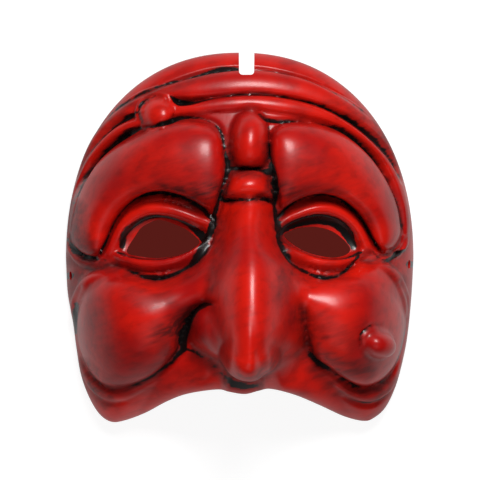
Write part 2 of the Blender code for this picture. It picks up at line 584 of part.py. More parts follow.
def softened(points, rows, columns):
    """A grid of points with its sharp turns rounded off."""
    sheet = points.reshape(rows, columns, 3).copy()
    for _ in range(rows // SOFTENING_ROWS):
        around = sheet[:-2, 1:-1] + sheet[2:, 1:-1] + sheet[1:-1, :-2] + sheet[1:-1, 2:]
        sheet[1:-1, 1:-1] = sheet[1:-1, 1:-1] / 2 + around / 8
    return sheet.reshape(-1, 3)


def dome(rows, columns):
    """The plain dome that everything is carved on."""
    share, angle = plan_grid(rows, columns)
    share, angle = share.ravel(), angle.ravel()
    angles, radii, rims = outline_of(LOWER_OUTLINE)
    near_edge = smooth_step(share, CALM_SHARE, 1)
    reach, calm_reach, rim, calm_rim = (
        np.interp(angle, angles, table, period=2 * math.pi)
        for table in (radii, evened(radii), rims, evened(rims))
    )
    radius = (calm_reach + (reach - calm_reach) * near_edge) * np.sin(share * math.pi / 2)
    height = calm_rim + (CROWN_HEIGHT - calm_rim) * np.cos(share * math.pi / 2) + (rim - calm_rim) * near_edge
    return np.column_stack([radius * np.cos(angle), radius * np.sin(angle), height])


def sculpted(rows, columns):
    """The mask's outer surface, with all its carving, as a grid of points."""
    points = dome(rows, columns)
    plan = points[:, :2].copy()
    ground = np.zeros(len(plan))
    for hollow in HOLLOWS:
        ground += hollow.swell(plan)
    forms = ground.copy()
    for mass in MASSES:
        forms = soft_max(forms, mass.height(plan) + ground, mass.blend)
    for part in (NOSE_BRIDGE, NOSE_BALL):
        forms = soft_max(forms, part.height(plan) * NOSE_PROJECTION / NOSE_SHARE + ground, part.blend)
    for wart in WARTS:
        forms += soft_max(np.zeros(len(plan)), wart.height(plan), wart.blend)
    points[:, 2] += forms
    hang = np.clip((points[:, 2] - CROWN_HEIGHT - HANG_START) / NOSE_PROJECTION, 0, 1)
    points[:, 1] -= NOSE_DROOP * hang * smooth_step(-plan[:, 1], 10, 45)
    normals = grid_normals(softened(points, rows, columns), rows, columns) + np.array([0, 0, UPWARD_LEAN])
    normals /= np.linalg.norm(normals, axis=1, keepdims=True)
    inward = 1 - plan_grid(rows, columns)[0].ravel()
    relief = np.zeros(len(plan))
    for roll in ROLLS:
        relief = np.maximum(relief, roll.swell(plan))
    depth_share = SIDE_DEPTH + (1 - SIDE_DEPTH) * smooth_step(inward, 0, SIDE_FADE)
    for crease in CREASES:
        relief -= crease.swell(plan) * depth_share
    for eye in (LEFT_EYE, RIGHT_EYE):
        hollow = Pillow(*eye, height=EYE_HOLLOW_DEPTH / ACROSS, fullness=EYE_HOLLOW_FULLNESS)
        relief -= np.maximum(hollow.height(plan), 0)
    return points + normals * (relief * smooth_step(inward, 0, EDGE_FADE))[:, None]


def sheet_faces(rows, columns, flip=False):
    """Triangles of a grid, each square of it split along the diagonal that points to the middle."""
    row, column = (part.ravel() for part in np.mgrid[0 : rows - 1, 0 : columns - 1])
    a = row * columns + column
    b, c, d = a + 1, a + columns + 1, a + columns
    rising = ((row - (rows - 2) / 2) * (column - (columns - 2) / 2) > 0)[:, None]
    first = np.where(rising, np.column_stack([a, b, c]), np.column_stack([a, b, d]))
    second = np.where(rising, np.column_stack([a, c, d]), np.column_stack([b, c, d]))
    triangles = np.vstack([first, second])
    return triangles[:, ::-1] if flip else triangles


def rim_loop(rows, columns):
    """Indices round the edge of a grid, once round."""
    grid = np.arange(rows * columns).reshape(rows, columns)
    return np.concatenate([grid[0, :-1], grid[:-1, -1], grid[-1, :0:-1], grid[:0:-1, 0]])


def lowest_heights(outer):
    """The lowest the outer sheet comes over each cell of a plan raster, and far below outside it."""
    tree = BVHTree.FromPolygons([Vector(p) for p in outer], sheet_faces(ROWS, COLUMNS).tolist())
    count = round(MASK_LENGTH * 1.1 / CELL) // 2 * 2 + 1
    ticks = (np.arange(count) - count // 2) * CELL
    heights = np.full((count, count), OUTSIDE)
    for row, y in enumerate(ticks):
        for column, x in enumerate(ticks):
            place = tree.ray_cast(Vector((x, y, OUTSIDE)), Vector((0, 0, 1)))[0]
            if place:
                heights[row, column] = place.z
    return heights


def worn_down(heights, radius, drop):
    """Each cell brought down to the lowest, less its drop, of the cells within this distance."""
    result = heights - drop(0.0)
    steps = int(radius / CELL)
    for down in range(-steps, steps + 1):
        for across in range(-steps, steps + 1):
            away = math.hypot(down, across) * CELL
            if 0 < away <= radius:
                moved = np.roll(heights, (down, across), (0, 1)) - drop(away)
                result = np.minimum(result, moved)
    return result


def inner_surface(outer, rows, columns):
    """The inside, everywhere at least a wall under the carving, as a grid of points."""
    heights = lowest_heights(outer)
    under = worn_down(heights, WALL, lambda away: math.sqrt(WALL**2 - away**2))
    level = worn_down(under, INNER_REACH, lambda away: 0.0)
    under = np.maximum(level, under - INNER_SLACK)
    share, angle = plan_grid(rows, columns)
    share, angle = share.ravel(), angle.ravel()
    angles, radii, rims = outline_of(LOWER_OUTLINE)
    reach = np.interp(angle, angles, radii, period=2 * math.pi)
    ahead = np.interp(angle + SLANT_STEP, angles, radii, period=2 * math.pi)
    behind = np.interp(angle - SLANT_STEP, angles, radii, period=2 * math.pi)
    slant = np.sqrt(1 + ((ahead - behind) / (2 * SLANT_STEP * reach)) ** 2)
    spread = INNER_SPREAD * math.pi / 2
    radius = (reach - WALL * np.minimum(slant, STEEPEST_SLANT)) * np.sin(share * spread) / math.sin(spread)
    rim = np.interp(angle, angles, rims, period=2 * math.pi)
    x, y = radius * np.cos(angle), radius * np.sin(angle)
    middle = len(heights) // 2
    column, row = x / CELL + middle, y / CELL + middle
    left, low = np.floor(column).astype(int), np.floor(row).astype(int)
    right_share, up_share = column - left, row - low
    lower = under[low, left] * (1 - right_share) + under[low, left + 1] * right_share
    upper = under[low + 1, left] * (1 - right_share) + under[low + 1, left + 1] * right_share
    z = np.maximum(lower * (1 - up_share) + upper * up_share, rim)
    z[rim_loop(rows, columns)] = rim[rim_loop(rows, columns)]
    return np.column_stack([x, y, z])


def shell_mesh(name):
    """The closed shell, from its outer and inner sheets and the strip of rim between them."""
    outer = sculpted(ROWS, COLUMNS)
    rows, columns = ROWS // INNER_STEP, COLUMNS // INNER_STEP
    inner = inner_surface(outer, rows, columns)
    mesh = bpy.data.meshes.new(name)
    points = np.vstack([outer, inner]) * MM
    sheets = np.vstack([sheet_faces(ROWS, COLUMNS), sheet_faces(rows, columns, flip=True) + len(outer)])
    faces = sheets.tolist() + rim_faces(len(outer), rows, columns)
    mesh.from_pydata(points.tolist(), [], faces)
    mesh.update()
    return mesh


def rim_faces(first_inner, rows, columns):
    """Triangles between the outer rim and the coarser inner one, stepping along whichever lags."""
    far, near = rim_loop(ROWS, COLUMNS), rim_loop(rows, columns) + first_inner
    faces = []
    i = j = 0
    while i < len(far) or j < len(near):
        a, b = far[i % len(far)], near[j % len(near)]
        if i * len(near) <= j * len(far) and i < len(far):
            faces.append([int(far[(i + 1) % len(far)]), int(a), int(b)])
            i += 1
        else:
            faces.append([int(near[(j + 1) % len(near)]), int(a), int(b)])
            j += 1
    return faces


def cutter(name, outline, low, high):
    """A prism over a plan outline in millimetres, between two heights, kept out of the render."""
    count = len(outline)
    points = [(x * MM, y * MM, z * MM) for z in (low, high) for x, y in outline]
    sides = [(i, (i + 1) % count, count + (i + 1) % count, count + i) for i in range(count)]
    faces = [tuple(reversed(range(count))), tuple(range(count, 2 * count)), *sides]
    mesh = bpy.data.meshes.new(name)
    mesh.from_pydata(points, [], faces)
    tool = bpy.data.objects.new(name, mesh)
    bpy.context.scene.collection.objects.link(tool)
    tool.hide_render = True
    tool.display_type = "WIRE"
    return tool


def eye_hole(outline):
    """The plan outline of the hole through an eye, run anticlockwise."""
    line = spline(in_millimetres(outline), closed=True, per_span=3)
    area = np.sum(line[:, 0] * np.roll(line[:, 1], -1) - line[:, 1] * np.roll(line[:, 0], -1))
    return line if area > 0 else line[::-1]


def cut(mask, tool):
    """Takes the tool out of the mask."""
    modifier = mask.modifiers.new(tool.name, "BOOLEAN")
    modifier.operation = "DIFFERENCE"
    modifier.solver = "EXACT"
    modifier.object = tool


def strap_hole(name, side, y):
    """A round cutter across one side of the mask."""
    bpy.ops.mesh.primitive_cylinder_add(
        vertices=16,
        radius=STRAP_HOLE_DIAMETER / 2 * MM,
        depth=2 * STRAP_HOLE_HEIGHT * MM,
        location=(side * MASK_WIDTH / 2 * MM, y * MM, STRAP_HOLE_HEIGHT * MM),
        rotation=(0, math.radians(90 - side * SIDE_LEAN), 0),
    )
    tool = bpy.context.object
    tool.name = name
    tool.hide_render = True
    tool.display_type = "WIRE"
    return tool


def lacquer():
    """Red lacquer over papier-mache."""
    material = bpy.data.materials.new("red_lacquer")
    material.use_nodes = True
    shader = material.node_tree.nodes["Principled BSDF"]
    shader.inputs["Base Color"].default_value = (0.45, 0.012, 0.01, 1)
    shader.inputs["Roughness"].default_value = 0.3
    shader.inputs["Metallic"].default_value = 0.0
    return material


def main():
    """Builds the mask and cuts its holes."""
    for obj in list(bpy.data.objects):
        bpy.data.objects.remove(obj)
    mask = bpy.data.objects.new("mask", shell_mesh("mask"))
    bpy.context.scene.collection.objects.link(mask)
    mask.data.materials.append(lacquer())
    fewer = mask.modifiers.new("fewer_faces", "DECIMATE")
    fewer.ratio = TRIANGLES / len(mask.data.polygons)
    reach = MASK_WIDTH
    table = [(-reach, -reach), (reach, -reach), (reach, reach), (-reach, reach)]
    cut(mask, cutter("table_cutter", table, -CROWN_HEIGHT, 0))
    cut(mask, cutter("left_eye_cutter", eye_hole(LEFT_HOLE), CROWN_HEIGHT / 4, CROWN_HEIGHT * 2))
    cut(mask, cutter("right_eye_cutter", eye_hole(RIGHT_HOLE), CROWN_HEIGHT / 4, CROWN_HEIGHT * 2))
    low_y = MASK_LENGTH / 2 - NOTCH_DEPTH
    left, right = NOTCH_CENTRE - NOTCH_WIDTH / 2, NOTCH_CENTRE + NOTCH_WIDTH / 2
    high_y = low_y + 3 * NOTCH_DEPTH
    notch = [(left, low_y), (right, low_y), (right, high_y), (left, high_y)]
    cut(mask, cutter("notch_cutter", notch, TOP_EDGE_LIFT / 3, TOP_EDGE_LIFT * 3))
    cut(mask, strap_hole("left_strap_hole", -1, LEFT_STRAP_HOLE_Y))
    cut(mask, strap_hole("right_strap_hole", 1, RIGHT_STRAP_HOLE_Y))
    mask.data.shade_smooth()


main()
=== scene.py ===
"""The looks of a red lacquered half mask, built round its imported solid.

Lengths are in metres unless a name or a docstring says otherwise. +Z is out of the face and +Y up the
forehead. The forms are placed in hundredths: x, half widths and heights of half the mask's width, y of
half its length, so that they follow the solid's own size.
"""

from __future__ import annotations

import logging
import math
from dataclasses import dataclass
from enum import Enum

import bpy
import numpy as np
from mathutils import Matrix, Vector
from mathutils.bvhtree import BVHTree

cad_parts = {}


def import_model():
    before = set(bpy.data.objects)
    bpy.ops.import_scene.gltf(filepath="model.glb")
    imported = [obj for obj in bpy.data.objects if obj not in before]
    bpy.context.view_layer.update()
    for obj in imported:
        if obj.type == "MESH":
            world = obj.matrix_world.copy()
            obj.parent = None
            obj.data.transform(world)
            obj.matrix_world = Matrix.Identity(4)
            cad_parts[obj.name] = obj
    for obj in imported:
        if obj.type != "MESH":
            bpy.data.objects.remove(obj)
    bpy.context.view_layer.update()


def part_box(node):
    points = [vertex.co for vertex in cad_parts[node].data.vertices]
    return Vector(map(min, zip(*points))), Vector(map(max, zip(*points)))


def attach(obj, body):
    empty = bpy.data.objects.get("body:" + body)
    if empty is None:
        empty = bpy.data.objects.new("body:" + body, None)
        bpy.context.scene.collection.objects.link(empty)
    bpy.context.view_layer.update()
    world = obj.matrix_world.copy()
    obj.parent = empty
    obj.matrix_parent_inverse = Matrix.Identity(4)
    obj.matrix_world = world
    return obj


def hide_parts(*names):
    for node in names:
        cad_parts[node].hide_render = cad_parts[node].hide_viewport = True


log = logging.getLogger("half_mask")

MM = 0.001
MARGIN_MM = 8.0
THINNEST_MM = 0.05
FAR_SHARE = 99.0
FAINTEST_COVER = 0.4
FULL_TURN = 2 * math.pi
TINY = 1e-6
Point = tuple[float, ...]
Points = tuple[Point, ...]
Pair = tuple[float, float]
Socket = bpy.types.NodeSocket


class Facing(Enum):
    """Which way a sheet of the shell looks."""

    OUT = "out"
    IN = "in"


@dataclass(frozen=True)
class Measures:
    """The mask's main sizes, in millimetres."""

    width: float
    length: float
    crown: float = 56.0
    wall: float = 2.5
    top_edge_lift: float = 30.0
    lip_edge_lift: float = 44.0
    chin_tip_lift: float = 5.0
    nose_projection: float = 43.0
    nose_droop: float = 8.5
    notch_width: float = 7.2
    notch_depth: float = 10.6
    notch_centre: float = 3.3
    strap_hole_diameter: float = 4.2
    strap_hole_height: float = 13.0
    strap_hole_ys: Pair = (-18.5, -13.0)
    eye_hollow_depth: float = 5.5

    @classmethod
    def of_node(cls, node: str) -> Measures:
        """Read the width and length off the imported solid.

        Args:
            node: the solid's name.

        Returns:
            The measures, with everything else as the maker set it.
        """
        low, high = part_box(node)
        return cls(width=(high.x - low.x) / MM, length=(high.y - low.y) / MM)

    @property
    def across(self) -> float:
        """One hundredth of half the width."""
        return self.width / 200

    @property
    def along(self) -> float:
        """One hundredth of half the length."""
        return self.length / 200

    def placed(self, points: Points) -> np.ndarray:
        """Control points (x, y, half width, height) from hundredths to millimetres.

        Args:
            points: the control points, which may stop short of the last columns.

        Returns:
            One row a point.
        """
        scale = np.array([self.across, self.along, self.across, self.across])
        table = np.array(points, float)
        return table * scale[: table.shape[1]]


def spline(points: np.ndarray | Points, closed: bool = False, per_span: int = 8) -> np.ndarray:
    """Run a smooth curve through points, carrying every column along.

    Args:
        points: the points, one a row.
        closed: whether the curve joins its own start.
        per_span: steps between one point and the next.

    Returns:
        The curve's points.
    """
    table = np.array(points, float)
    if closed:
        table = np.vstack([table[-1:], table, table[:2]])
    else:
        table = np.vstack([2 * table[0] - table[1], table, 2 * table[-1] - table[-2]])
    t = (np.arange(per_span) / per_span)[:, None]
    parts = []
    for a, b, c, d in zip(table[:-3], table[1:-2], table[2:-1], table[3:]):
        bend = t**2 * (a - 2.5 * b + 2 * c - d / 2) + t**3 * (1.5 * (b - c) + (d - a) / 2)
        parts.append(b + t * (c - a) / 2 + bend)
    if not closed:
        parts.append(table[-2:-1])
    return np.vstack(parts)


def smooth_step(value: np.ndarray, low: float, high: float) -> np.ndarray:
    """0 below low, 1 above high, and a smooth rise between."""
    t = np.clip((value - low) / (high - low), 0, 1)
    return t * t * (3 - 2 * t)


def soft_max(a: np.ndarray, b: np.ndarray, blend: float) -> np.ndarray:
    """The greater of a and b, with a fillet of about this size where they cross."""
    near = np.clip(blend - np.abs(a - b), 0, None) / blend
    return np.maximum(a, b) + near * near * blend / 4


class Stroke:
    """A form drawn along a line, whose points give its place, its half width and its height there."""

    top: float = 2.0
    side: float = 0.5
    blend: float = 1.2

    def __init__(self, *points: Point, **shape: float) -> None:
        """Set the stroke out.

        Args:
            points: x, y, half width and height at each place, in hundredths.
            shape: any of top and side, the powers that shape the section, and blend, the fillet's size
                in millimetres, where they differ from the usual ones of this kind of stroke.
        """
        self.points = points
        for name, value in shape.items():
            setattr(self, name, value)

    def reach(self, plan: np.ndarray, sizes: Measures) -> tuple[np.ndarray, np.ndarray, np.ndarray]:
        """Find where each plan point lies across the stroke.

        Args:
            plan: places in millimetres.
            sizes: the mask's measures.

        Returns:
            The share of the half width, the height and the half width at the nearest place.
        """
        line = spline(sizes.placed(self.points))
        margin = line[:, 2].max() + MARGIN_MM
        low, high = line[:, :2].min(0) - margin, line[:, :2].max(0) + margin
        near = ((plan > low) & (plan < high)).all(1)
        points = plan[near]
        nearest = np.full(len(points), FAR_SHARE)
        found = np.zeros(len(points))
        edge = np.ones(len(points))
        for a, b in zip(line[:-1], line[1:]):
            run, wider = b[:2] - a[:2], b[2] - a[2]
            away = points - a[:2]
            along = away @ run
            t = along * a[2] + wider * (away**2).sum(1)
            t = np.clip(t / np.maximum(run @ run * a[2] + along * wider, TINY), 0, 1)
            off = np.linalg.norm(away - t[:, None] * run, axis=1)
            radius = np.maximum(a[2] + wider * t, THINNEST_MM)
            share = off / radius
            closer = share < nearest
            nearest = np.where(closer, share, nearest)
            found = np.where(closer, a[3] + (b[3] - a[3]) * t, found)
            edge = np.where(closer, radius, edge)
        result = np.tile([FAR_SHARE, 0.0, 1.0], (len(plan), 1))
        result[near] = np.column_stack([nearest, found, edge])
        return result[:, 0], result[:, 1], result[:, 2]

    def section(self, share: np.ndarray, height: np.ndarray) -> np.ndarray:
        """The form's height at these shares of its half width, and nothing outside it."""
        return height * (1 - np.clip(share, 0, 1) ** self.top) ** self.side

    def swell(self, plan: np.ndarray, sizes: Measures) -> np.ndarray:
        """Height of the form over the ground in millimetres, and nothing outside it."""
        share, height, _ = self.reach(plan, sizes)
        return self.section(share, height)

    def height(self, plan: np.ndarray, sizes: Measures) -> np.ndarray:
        """The same, but falling below zero outside the form, for blending it with its ground.

        Args:
            plan: places in millimetres.
            sizes: the mask's measures.

        Returns:
            Heights in millimetres.
        """
        share, height, edge = self.reach(plan, sizes)
        outside = np.maximum(-(share - 1) * edge, -MARGIN_MM)
        return np.where(share < 1, self.section(share, height), outside)

    def cover(self, plan: np.ndarray, sizes: Measures, feather: float) -> np.ndarray:
        """How much paint a brush along the stroke leaves, with its height as the strength.

        Args:
            plan: places in millimetres.
            sizes: the mask's measures.
            feather: how far inside and outside its edge the paint thins out, in millimetres.

        Returns:
            Shares of full cover, a half at the edge of a full stroke.
        """
        share, strength, edge = self.reach(plan, sizes)
        inside = np.clip(0.5 + (1 - share) * edge / (2 * feather), 0, 1)
        return inside * (FAINTEST_COVER + (1 - FAINTEST_COVER) * strength / sizes.across)


class Swale(Stroke):
    """A broad rise or hollow of the ground, which fades out evenly."""

    top = 2.0
    side = 2.0


class Wart(Stroke):
    """A round bump that stands on everything else."""

    blend = 0.8


class Roll(Stroke):
    """A roll of flesh, round on top and upright at its sides."""


class Crease(Stroke):
    """A groove whose sides slope down to a narrow bottom."""

    top = 1.2
    side = 1.2


class Ink(Stroke):
    """A black brush stroke, with its strength as the height; round the strap holes it is also painted shade.
    """


class PatinaAndShade(Stroke):
    """A patch of dark that thins out towards its edge, with its strength as the height; some are rubbed-in
    patina, and those under the nose, under the cheeks and on the lip are painted shade.
    """

    side = 1.0


class Pillow:
    """A form blown up inside a closed outline, round over a round one."""

    def __init__(self, *outline: Point, height: float, fullness: float = 0.5, blend: float = 1.2) -> None:
        """Set the pillow out.

        Args:
            outline: x and y at each place round it, in hundredths.
            height: its full height, in hundredths.
            fullness: the power that squares its section.
            blend: the fillet's size, in millimetres.
        """
        self.outline = outline
        self.full_height = height
        self.fullness = fullness
        self.blend = blend

    def height(self, plan: np.ndarray, sizes: Measures) -> np.ndarray:
        """Work out the form's height over the ground.

        Args:
            plan: places in millimetres.
            sizes: the mask's measures.

        Returns:
            Heights in millimetres, falling below zero outside the outline.
        """
        outline = spline(sizes.placed(self.outline), closed=True, per_span=5)
        low, high = outline.min(0) - MARGIN_MM, outline.max(0) + MARGIN_MM
        near = ((plan > low) & (plan < high)).all(1)
        result = np.full(len(plan), -MARGIN_MM)
        points = plan[near]
        seen = np.zeros(len(points))
        turned = np.zeros(len(points))
        gap = np.full(len(points), np.inf)
        for a, b in zip(outline, np.roll(outline, -1, axis=0)):
            run = (b - a) / np.linalg.norm(b - a)
            first, last = (a - points) @ run, (b - points) @ run
            off = np.abs((points - a) @ np.array([-run[1], run[0]])) + TINY
            seen += (np.arctan2(last, off) - np.arctan2(first, off)) / off
            gap = np.minimum(gap, np.hypot(off, np.maximum(np.maximum(first, -last), 0)))
            one, two = a - points, b - points
            turned += np.arctan2(one[:, 0] * two[:, 1] - one[:, 1] * two[:, 0], (one * two).sum(1))
        swell = math.pi / seen
        inside = np.abs(turned) > math.pi
        peak = swell[inside].max() if inside.any() else 1.0
        rise = self.full_height * sizes.across * (swell / peak) ** self.fullness
        result[near] = np.where(inside, rise, np.maximum(-gap, -MARGIN_MM))
        return result


Forms = tuple[Stroke | Pillow, ...]


# The outline below the widest place, from the right round to the left
LOWER_OUTLINE: Points = (
    (100, -12), (99, -30), (97, -50), (94.5, -64), (90, -80), (84, -92), (77, -98), (71, -99.5), (60, -97),
    (46, -91), (32, -85.5), (18, -82.2), (11, -83.2), (3, -85), (-6, -83.8), (-13, -82.5), (-30, -84.8),
    (-42, -89), (-54, -95), (-66, -99.2), (-74, -100), (-81, -95.5), (-87, -86), (-91.5, -74), (-94, -60),
    (-96, -46), (-99, -30), (-100, -12),
)

# The rolls across the forehead, with the wart they wrap on its left
FOREHEAD: Forms = (
    Swale((5, 75, 40, 3), (5, 50, 40, 5), (5, 30, 34, 4)),
    Wart((-47.9, 67, 8.8, 9.5), (-47.2, 67, 8.8, 9.5)),
    Roll((-95, 22, 2, 1), (-91, 36, 3.2, 3), (-86, 46, 4, 3.6), (-79, 56, 4.5, 4), (-71, 63.5, 4.8, 4),
         (-63, 70.5, 4.4, 3.6), (-55, 75.8, 3.8, 3), (-47, 78.6, 3.6, 3), (-38, 79.6, 4.6, 3.4),
         (-27, 80.8, 6.2, 4), (-10, 83, 7, 4.2), (8, 83.8, 7, 4.2), (24, 82.3, 6.8, 4), (40, 79, 6.5, 4),
         (54, 73, 6, 4), (66, 66, 5.5, 4), (77, 56, 5, 4), (86, 43.5, 4, 3), (92, 30, 3, 1)),
    Roll((-37, 68.5, 3, 2.5), (-26, 70, 4, 3.6), (-10, 72.3, 4.6, 3.8), (8, 73, 4.8, 3.8),
         (24, 71.5, 4.6, 3.8), (40, 68.5, 4.4, 3.8), (54, 64, 4, 3.8), (66, 57.5, 3.6, 3.8),
         (77, 48.5, 3.3, 3.6), (86, 37, 3, 3.4), (92, 24, 2.6, 3), (95, 10, 2.2, 2.6), (95, -2, 2, 1.5)),
    Roll((-57, 62.5, 2.5, 3), (-66, 59.3, 3, 3.6), (-75, 54, 3, 3.6), (-83, 46, 2.8, 3.4),
         (-89, 36.5, 2.4, 3), (-94, 25, 2, 2.6), (-97, 13, 1.6, 2), (-99, 0, 1.4, 1.5)),
    Roll((-51, 58.2, 1.4, 1), (-55.5, 61.5, 2, 2.6), (-57.8, 67.3, 2.3, 3.4), (-55, 74, 2.3, 3.4),
         (-47.5, 77, 2.3, 3.2), (-40.2, 74.5, 2.2, 3), (-36.8, 69, 2.2, 2.4)),
    Crease((-93, 33, 1.2, 0.5), (-87, 50, 1.8, 2), (-77, 62, 1.8, 2), (-64, 72.5, 1.8, 2.2),
           (-48, 80, 1.8, 2.2), (-32, 85.8, 2, 2.8), (-18, 89.5, 2.2, 3.2), (-4, 91.2, 2, 3),
           (10, 91.3, 1.6, 2.6), (24, 89.3, 1.5, 2.4), (40, 85, 1.6, 2.6), (52, 79.5, 1.8, 2.6),
           (62, 73.5, 1.8, 1.6), (74, 64, 1.6, 0.8)),
    Crease((-40, 75.5, 1, 1), (-36, 73.5, 3, 4.5), (-28, 73.3, 2.8, 4), (-16, 75, 1.8, 2.6),
           (0, 77, 1.7, 2.6), (14, 77.3, 1.7, 2.6), (30, 75.2, 1.7, 2.8), (46, 71, 1.9, 3.2),
           (58, 65.8, 2.5, 4.2), (70, 58, 2.7, 4.6), (80, 49, 2.7, 4.6), (87, 40, 2.2, 3.6),
           (92, 29, 1.4, 1)),
    Crease((-61, 66.5, 1, 1), (-66, 64, 2.4, 4.2), (-72, 60, 2.4, 4.2), (-80, 52, 1.9, 3.2),
           (-87, 42.5, 1.4, 2.2), (-93, 30, 1, 1.4)),
    Crease((-58.5, 58, 1, 1), (-64.5, 56, 2.3, 4), (-74, 50, 2.1, 4), (-83, 41.5, 1.8, 3.6),
           (-90, 30.5, 1.5, 3), (-95, 18.5, 1.2, 2.4), (-98, 4, 1, 1.6)),
    Crease((-52.5, 60, 0.9, 0.4), (-56, 64.2, 1, 1), (-56.6, 68, 1, 1.2), (-53.9, 73.2, 1, 1.2),
           (-48, 75.6, 1, 1), (-42, 74, 0.9, 0.6), top=1.5),
    Ink((-30, 85.8, 0.9, 0.72), (-22, 88.3, 1.3, 1), (-12, 90.8, 1.3, 1), (-3, 91.4, 1.1, 1),
        (1, 91.3, 0.9, 0.86)),
    Ink((-86, 50, 0.9, 0.32), (-70, 68.5, 0.9, 0.4), (-56, 77.5, 0.9, 0.47), (-42, 83, 0.9, 0.81),
        (-36, 84.8, 0.9, 0.47)),
    Ink((9, 91.2, 0.9, 0.4), (28, 88, 0.9, 0.32), (50, 80, 0.9, 0.34), (70, 68, 0.9, 0.24)),
    Ink((-39.5, 75.6, 0.9, 0.9), (-35, 73, 1.9, 1), (-29, 72.6, 1.7, 1), (-23, 73.4, 0.9, 0.9),
        (-16, 75, 0.9, 0.55)),
    Ink((-16, 75, 0.9, 0.43), (0, 77, 0.9, 0.47), (20, 76.5, 0.9, 0.47), (36, 74, 0.9, 0.6),
        (48, 70.6, 0.9, 0.72)),
    Ink((46, 71.1, 0.9, 0.6), (55, 67.2, 1, 0.9), (64, 62.4, 1.2, 1), (72, 56.8, 1.1, 0.9),
        (80, 49.5, 0.9, 0.8), (86, 42, 0.9, 0.5), (91, 32, 0.9, 0.3)),
    Ink((-58.5, 67, 1, 0.8), (-63, 65, 1.4, 1), (-69, 61.2, 1.1, 0.9), (-77, 54.5, 0.9, 0.6),
        (-86, 43, 0.9, 0.4)),
    Ink((-57, 59, 1, 0.9), (-62, 57.5, 1.5, 1), (-69, 53.5, 1.2, 1), (-78, 46.5, 0.9, 0.81),
        (-88, 34, 0.9, 0.63), (-95, 18, 0.9, 0.4)),
    Ink((-53, 59, 0.9, 0.63), (-46, 61.2, 1.1, 1), (-39, 63.5, 1.2, 1), (-34, 65, 0.9, 0.81),
        (-24, 65, 0.9, 0.51), (-17, 62.8, 0.9, 0.63)),
    Ink((-55, 62, 0.9, 0.47), (-56.8, 67.5, 0.9, 0.6), (-54.5, 72.8, 0.9, 0.6), (-48, 75.7, 0.9, 0.47)),
    PatinaAndShade((-10, 90, 5, 0.4), (-30, 85, 5, 0.5), (-60, 73, 5, 0.5), (-80, 58, 5, 0.5), (-92, 36, 4, 0.4)),
    PatinaAndShade((52, 74, 6, 0.3), (70, 63, 7, 0.5), (84, 50, 7, 0.6), (92, 34, 5, 0.4)),
)

# The two heavy brows
BROWS: Forms = (
    Pillow((-12, 57), (-20, 61.5), (-31, 63), (-45, 61), (-60, 55), (-75, 46.5), (-88, 34), (-95, 20),
           (-97.5, 5), (-95, -5), (-88, -10), (-81.5, -9.5), (-77.5, -3), (-73, 8), (-66, 17), (-56, 22.5),
           (-43, 24), (-30, 20), (-18, 15), (-12.5, 21), (-8.5, 33), (-8.5, 46), height=20.5, fullness=0.35,
           blend=1.6),
    Pillow((19, 57), (26, 61.5), (38, 62), (50, 59.5), (63, 54), (75, 44.5), (85, 31), (91, 17), (93, 4),
           (90, -4), (84, -7), (78.5, -4), (74, 5), (67.5, 14), (58, 20.5), (47, 22.5), (35, 20.5),
           (25, 16), (21.5, 24), (18, 38), (17.5, 48), height=20.5, fullness=0.35, blend=1.6),
    Crease((-48, 60.3, 1.4, 1.6), (-41, 62.5, 1.9, 3.2), (-33, 65, 1.6, 2.4), (-22, 64.8, 1.3, 1.8),
           (-13, 61.3, 1.4, 2), (-9.3, 54, 1.4, 2), (-7.5, 44, 1.8, 2.6), (-6, 37, 2.2, 3),
           (-9.5, 27, 2.2, 3), (-11, 18, 2.4, 3), (-14.5, 9, 2, 2)),
    Crease((10, 67.5, 1, 1), (16, 63.8, 1.7, 2.8), (23, 63, 1.7, 2.8), (34, 63.4, 1.3, 2),
           (46, 61.8, 1.3, 1.8), (58, 58, 1.3, 1.8), (69, 51, 1.5, 2.4), (79, 41.5, 1.8, 3),
           (87, 29, 1.5, 2.6), (92, 16, 1.2, 2), (94, 2, 1.2, 1.6)),
    Crease((17, 62, 1.2, 1.4), (17.3, 52, 1.5, 2.2), (17, 42, 2, 3), (19.5, 32, 2.6, 3.6),
           (21, 20, 2.6, 3.6), (21.5, 9, 2, 2.4)),
    Ink((-14, 61, 0.9, 0.68), (-10.5, 57, 0.9, 0.81), (-8.8, 50, 0.9, 0.75), (-7.5, 44, 0.9, 0.8),
        (-6.5, 37, 1.5, 1), (-9, 29, 0.9, 0.6), (-12, 20, 1.1, 0.8), (-15, 12, 1.4, 1)),
    Ink((11, 67, 0.9, 0.55), (15, 64.6, 0.9, 0.9), (20, 63.1, 1, 1), (28, 63.3, 0.9, 0.7),
        (36, 63.4, 0.9, 0.3), (48, 61.4, 0.9, 0.47), (58, 58.1, 0.9, 0.8), (68, 51.6, 0.9, 0.8),
        (78, 42.2, 0.9, 0.7), (86, 30, 0.9, 0.5), (91, 17, 0.9, 0.5), (93.5, 4, 0.9, 0.5)),
    Ink((17, 60, 0.9, 0.5), (17.3, 51, 0.9, 0.55), (17, 43, 0.9, 0.75), (18.5, 36, 1.4, 1),
        (20.5, 27, 1.5, 1), (20.5, 18, 1.2, 0.9), (21.5, 10, 1.3, 1)),
    PatinaAndShade((-93, 16, 6, 0.5), (-93, 0, 8, 0.7), (-86, -6, 7, 0.6)),
    # Darker under the left brow, most at its inner corner.
    PatinaAndShade((-60, 24, 7, 0.5), (-44, 27, 7, 0.7), (-26, 23, 10, 0.9), (-15, 27, 9, 0.95)),
    PatinaAndShade((-72, 26, 14, 0.2), (-45, 38, 16, 0.3), (-22, 36, 13, 0.35)),
    PatinaAndShade((28, 38, 13, 0.3), (48, 36, 14, 0.3), (70, 26, 13, 0.25)),
    PatinaAndShade((-28, 62, 4, 0.3), (-44, 60, 4, 0.4), (-62, 53, 4, 0.3)),
    # Darker under the right brow, most at its inner corner.
    PatinaAndShade((24, 28, 8, 0.9), (32, 22, 8, 0.8), (46, 25, 7, 0.6), (60, 22, 7, 0.5), (74, 8, 6, 0.4)),
)

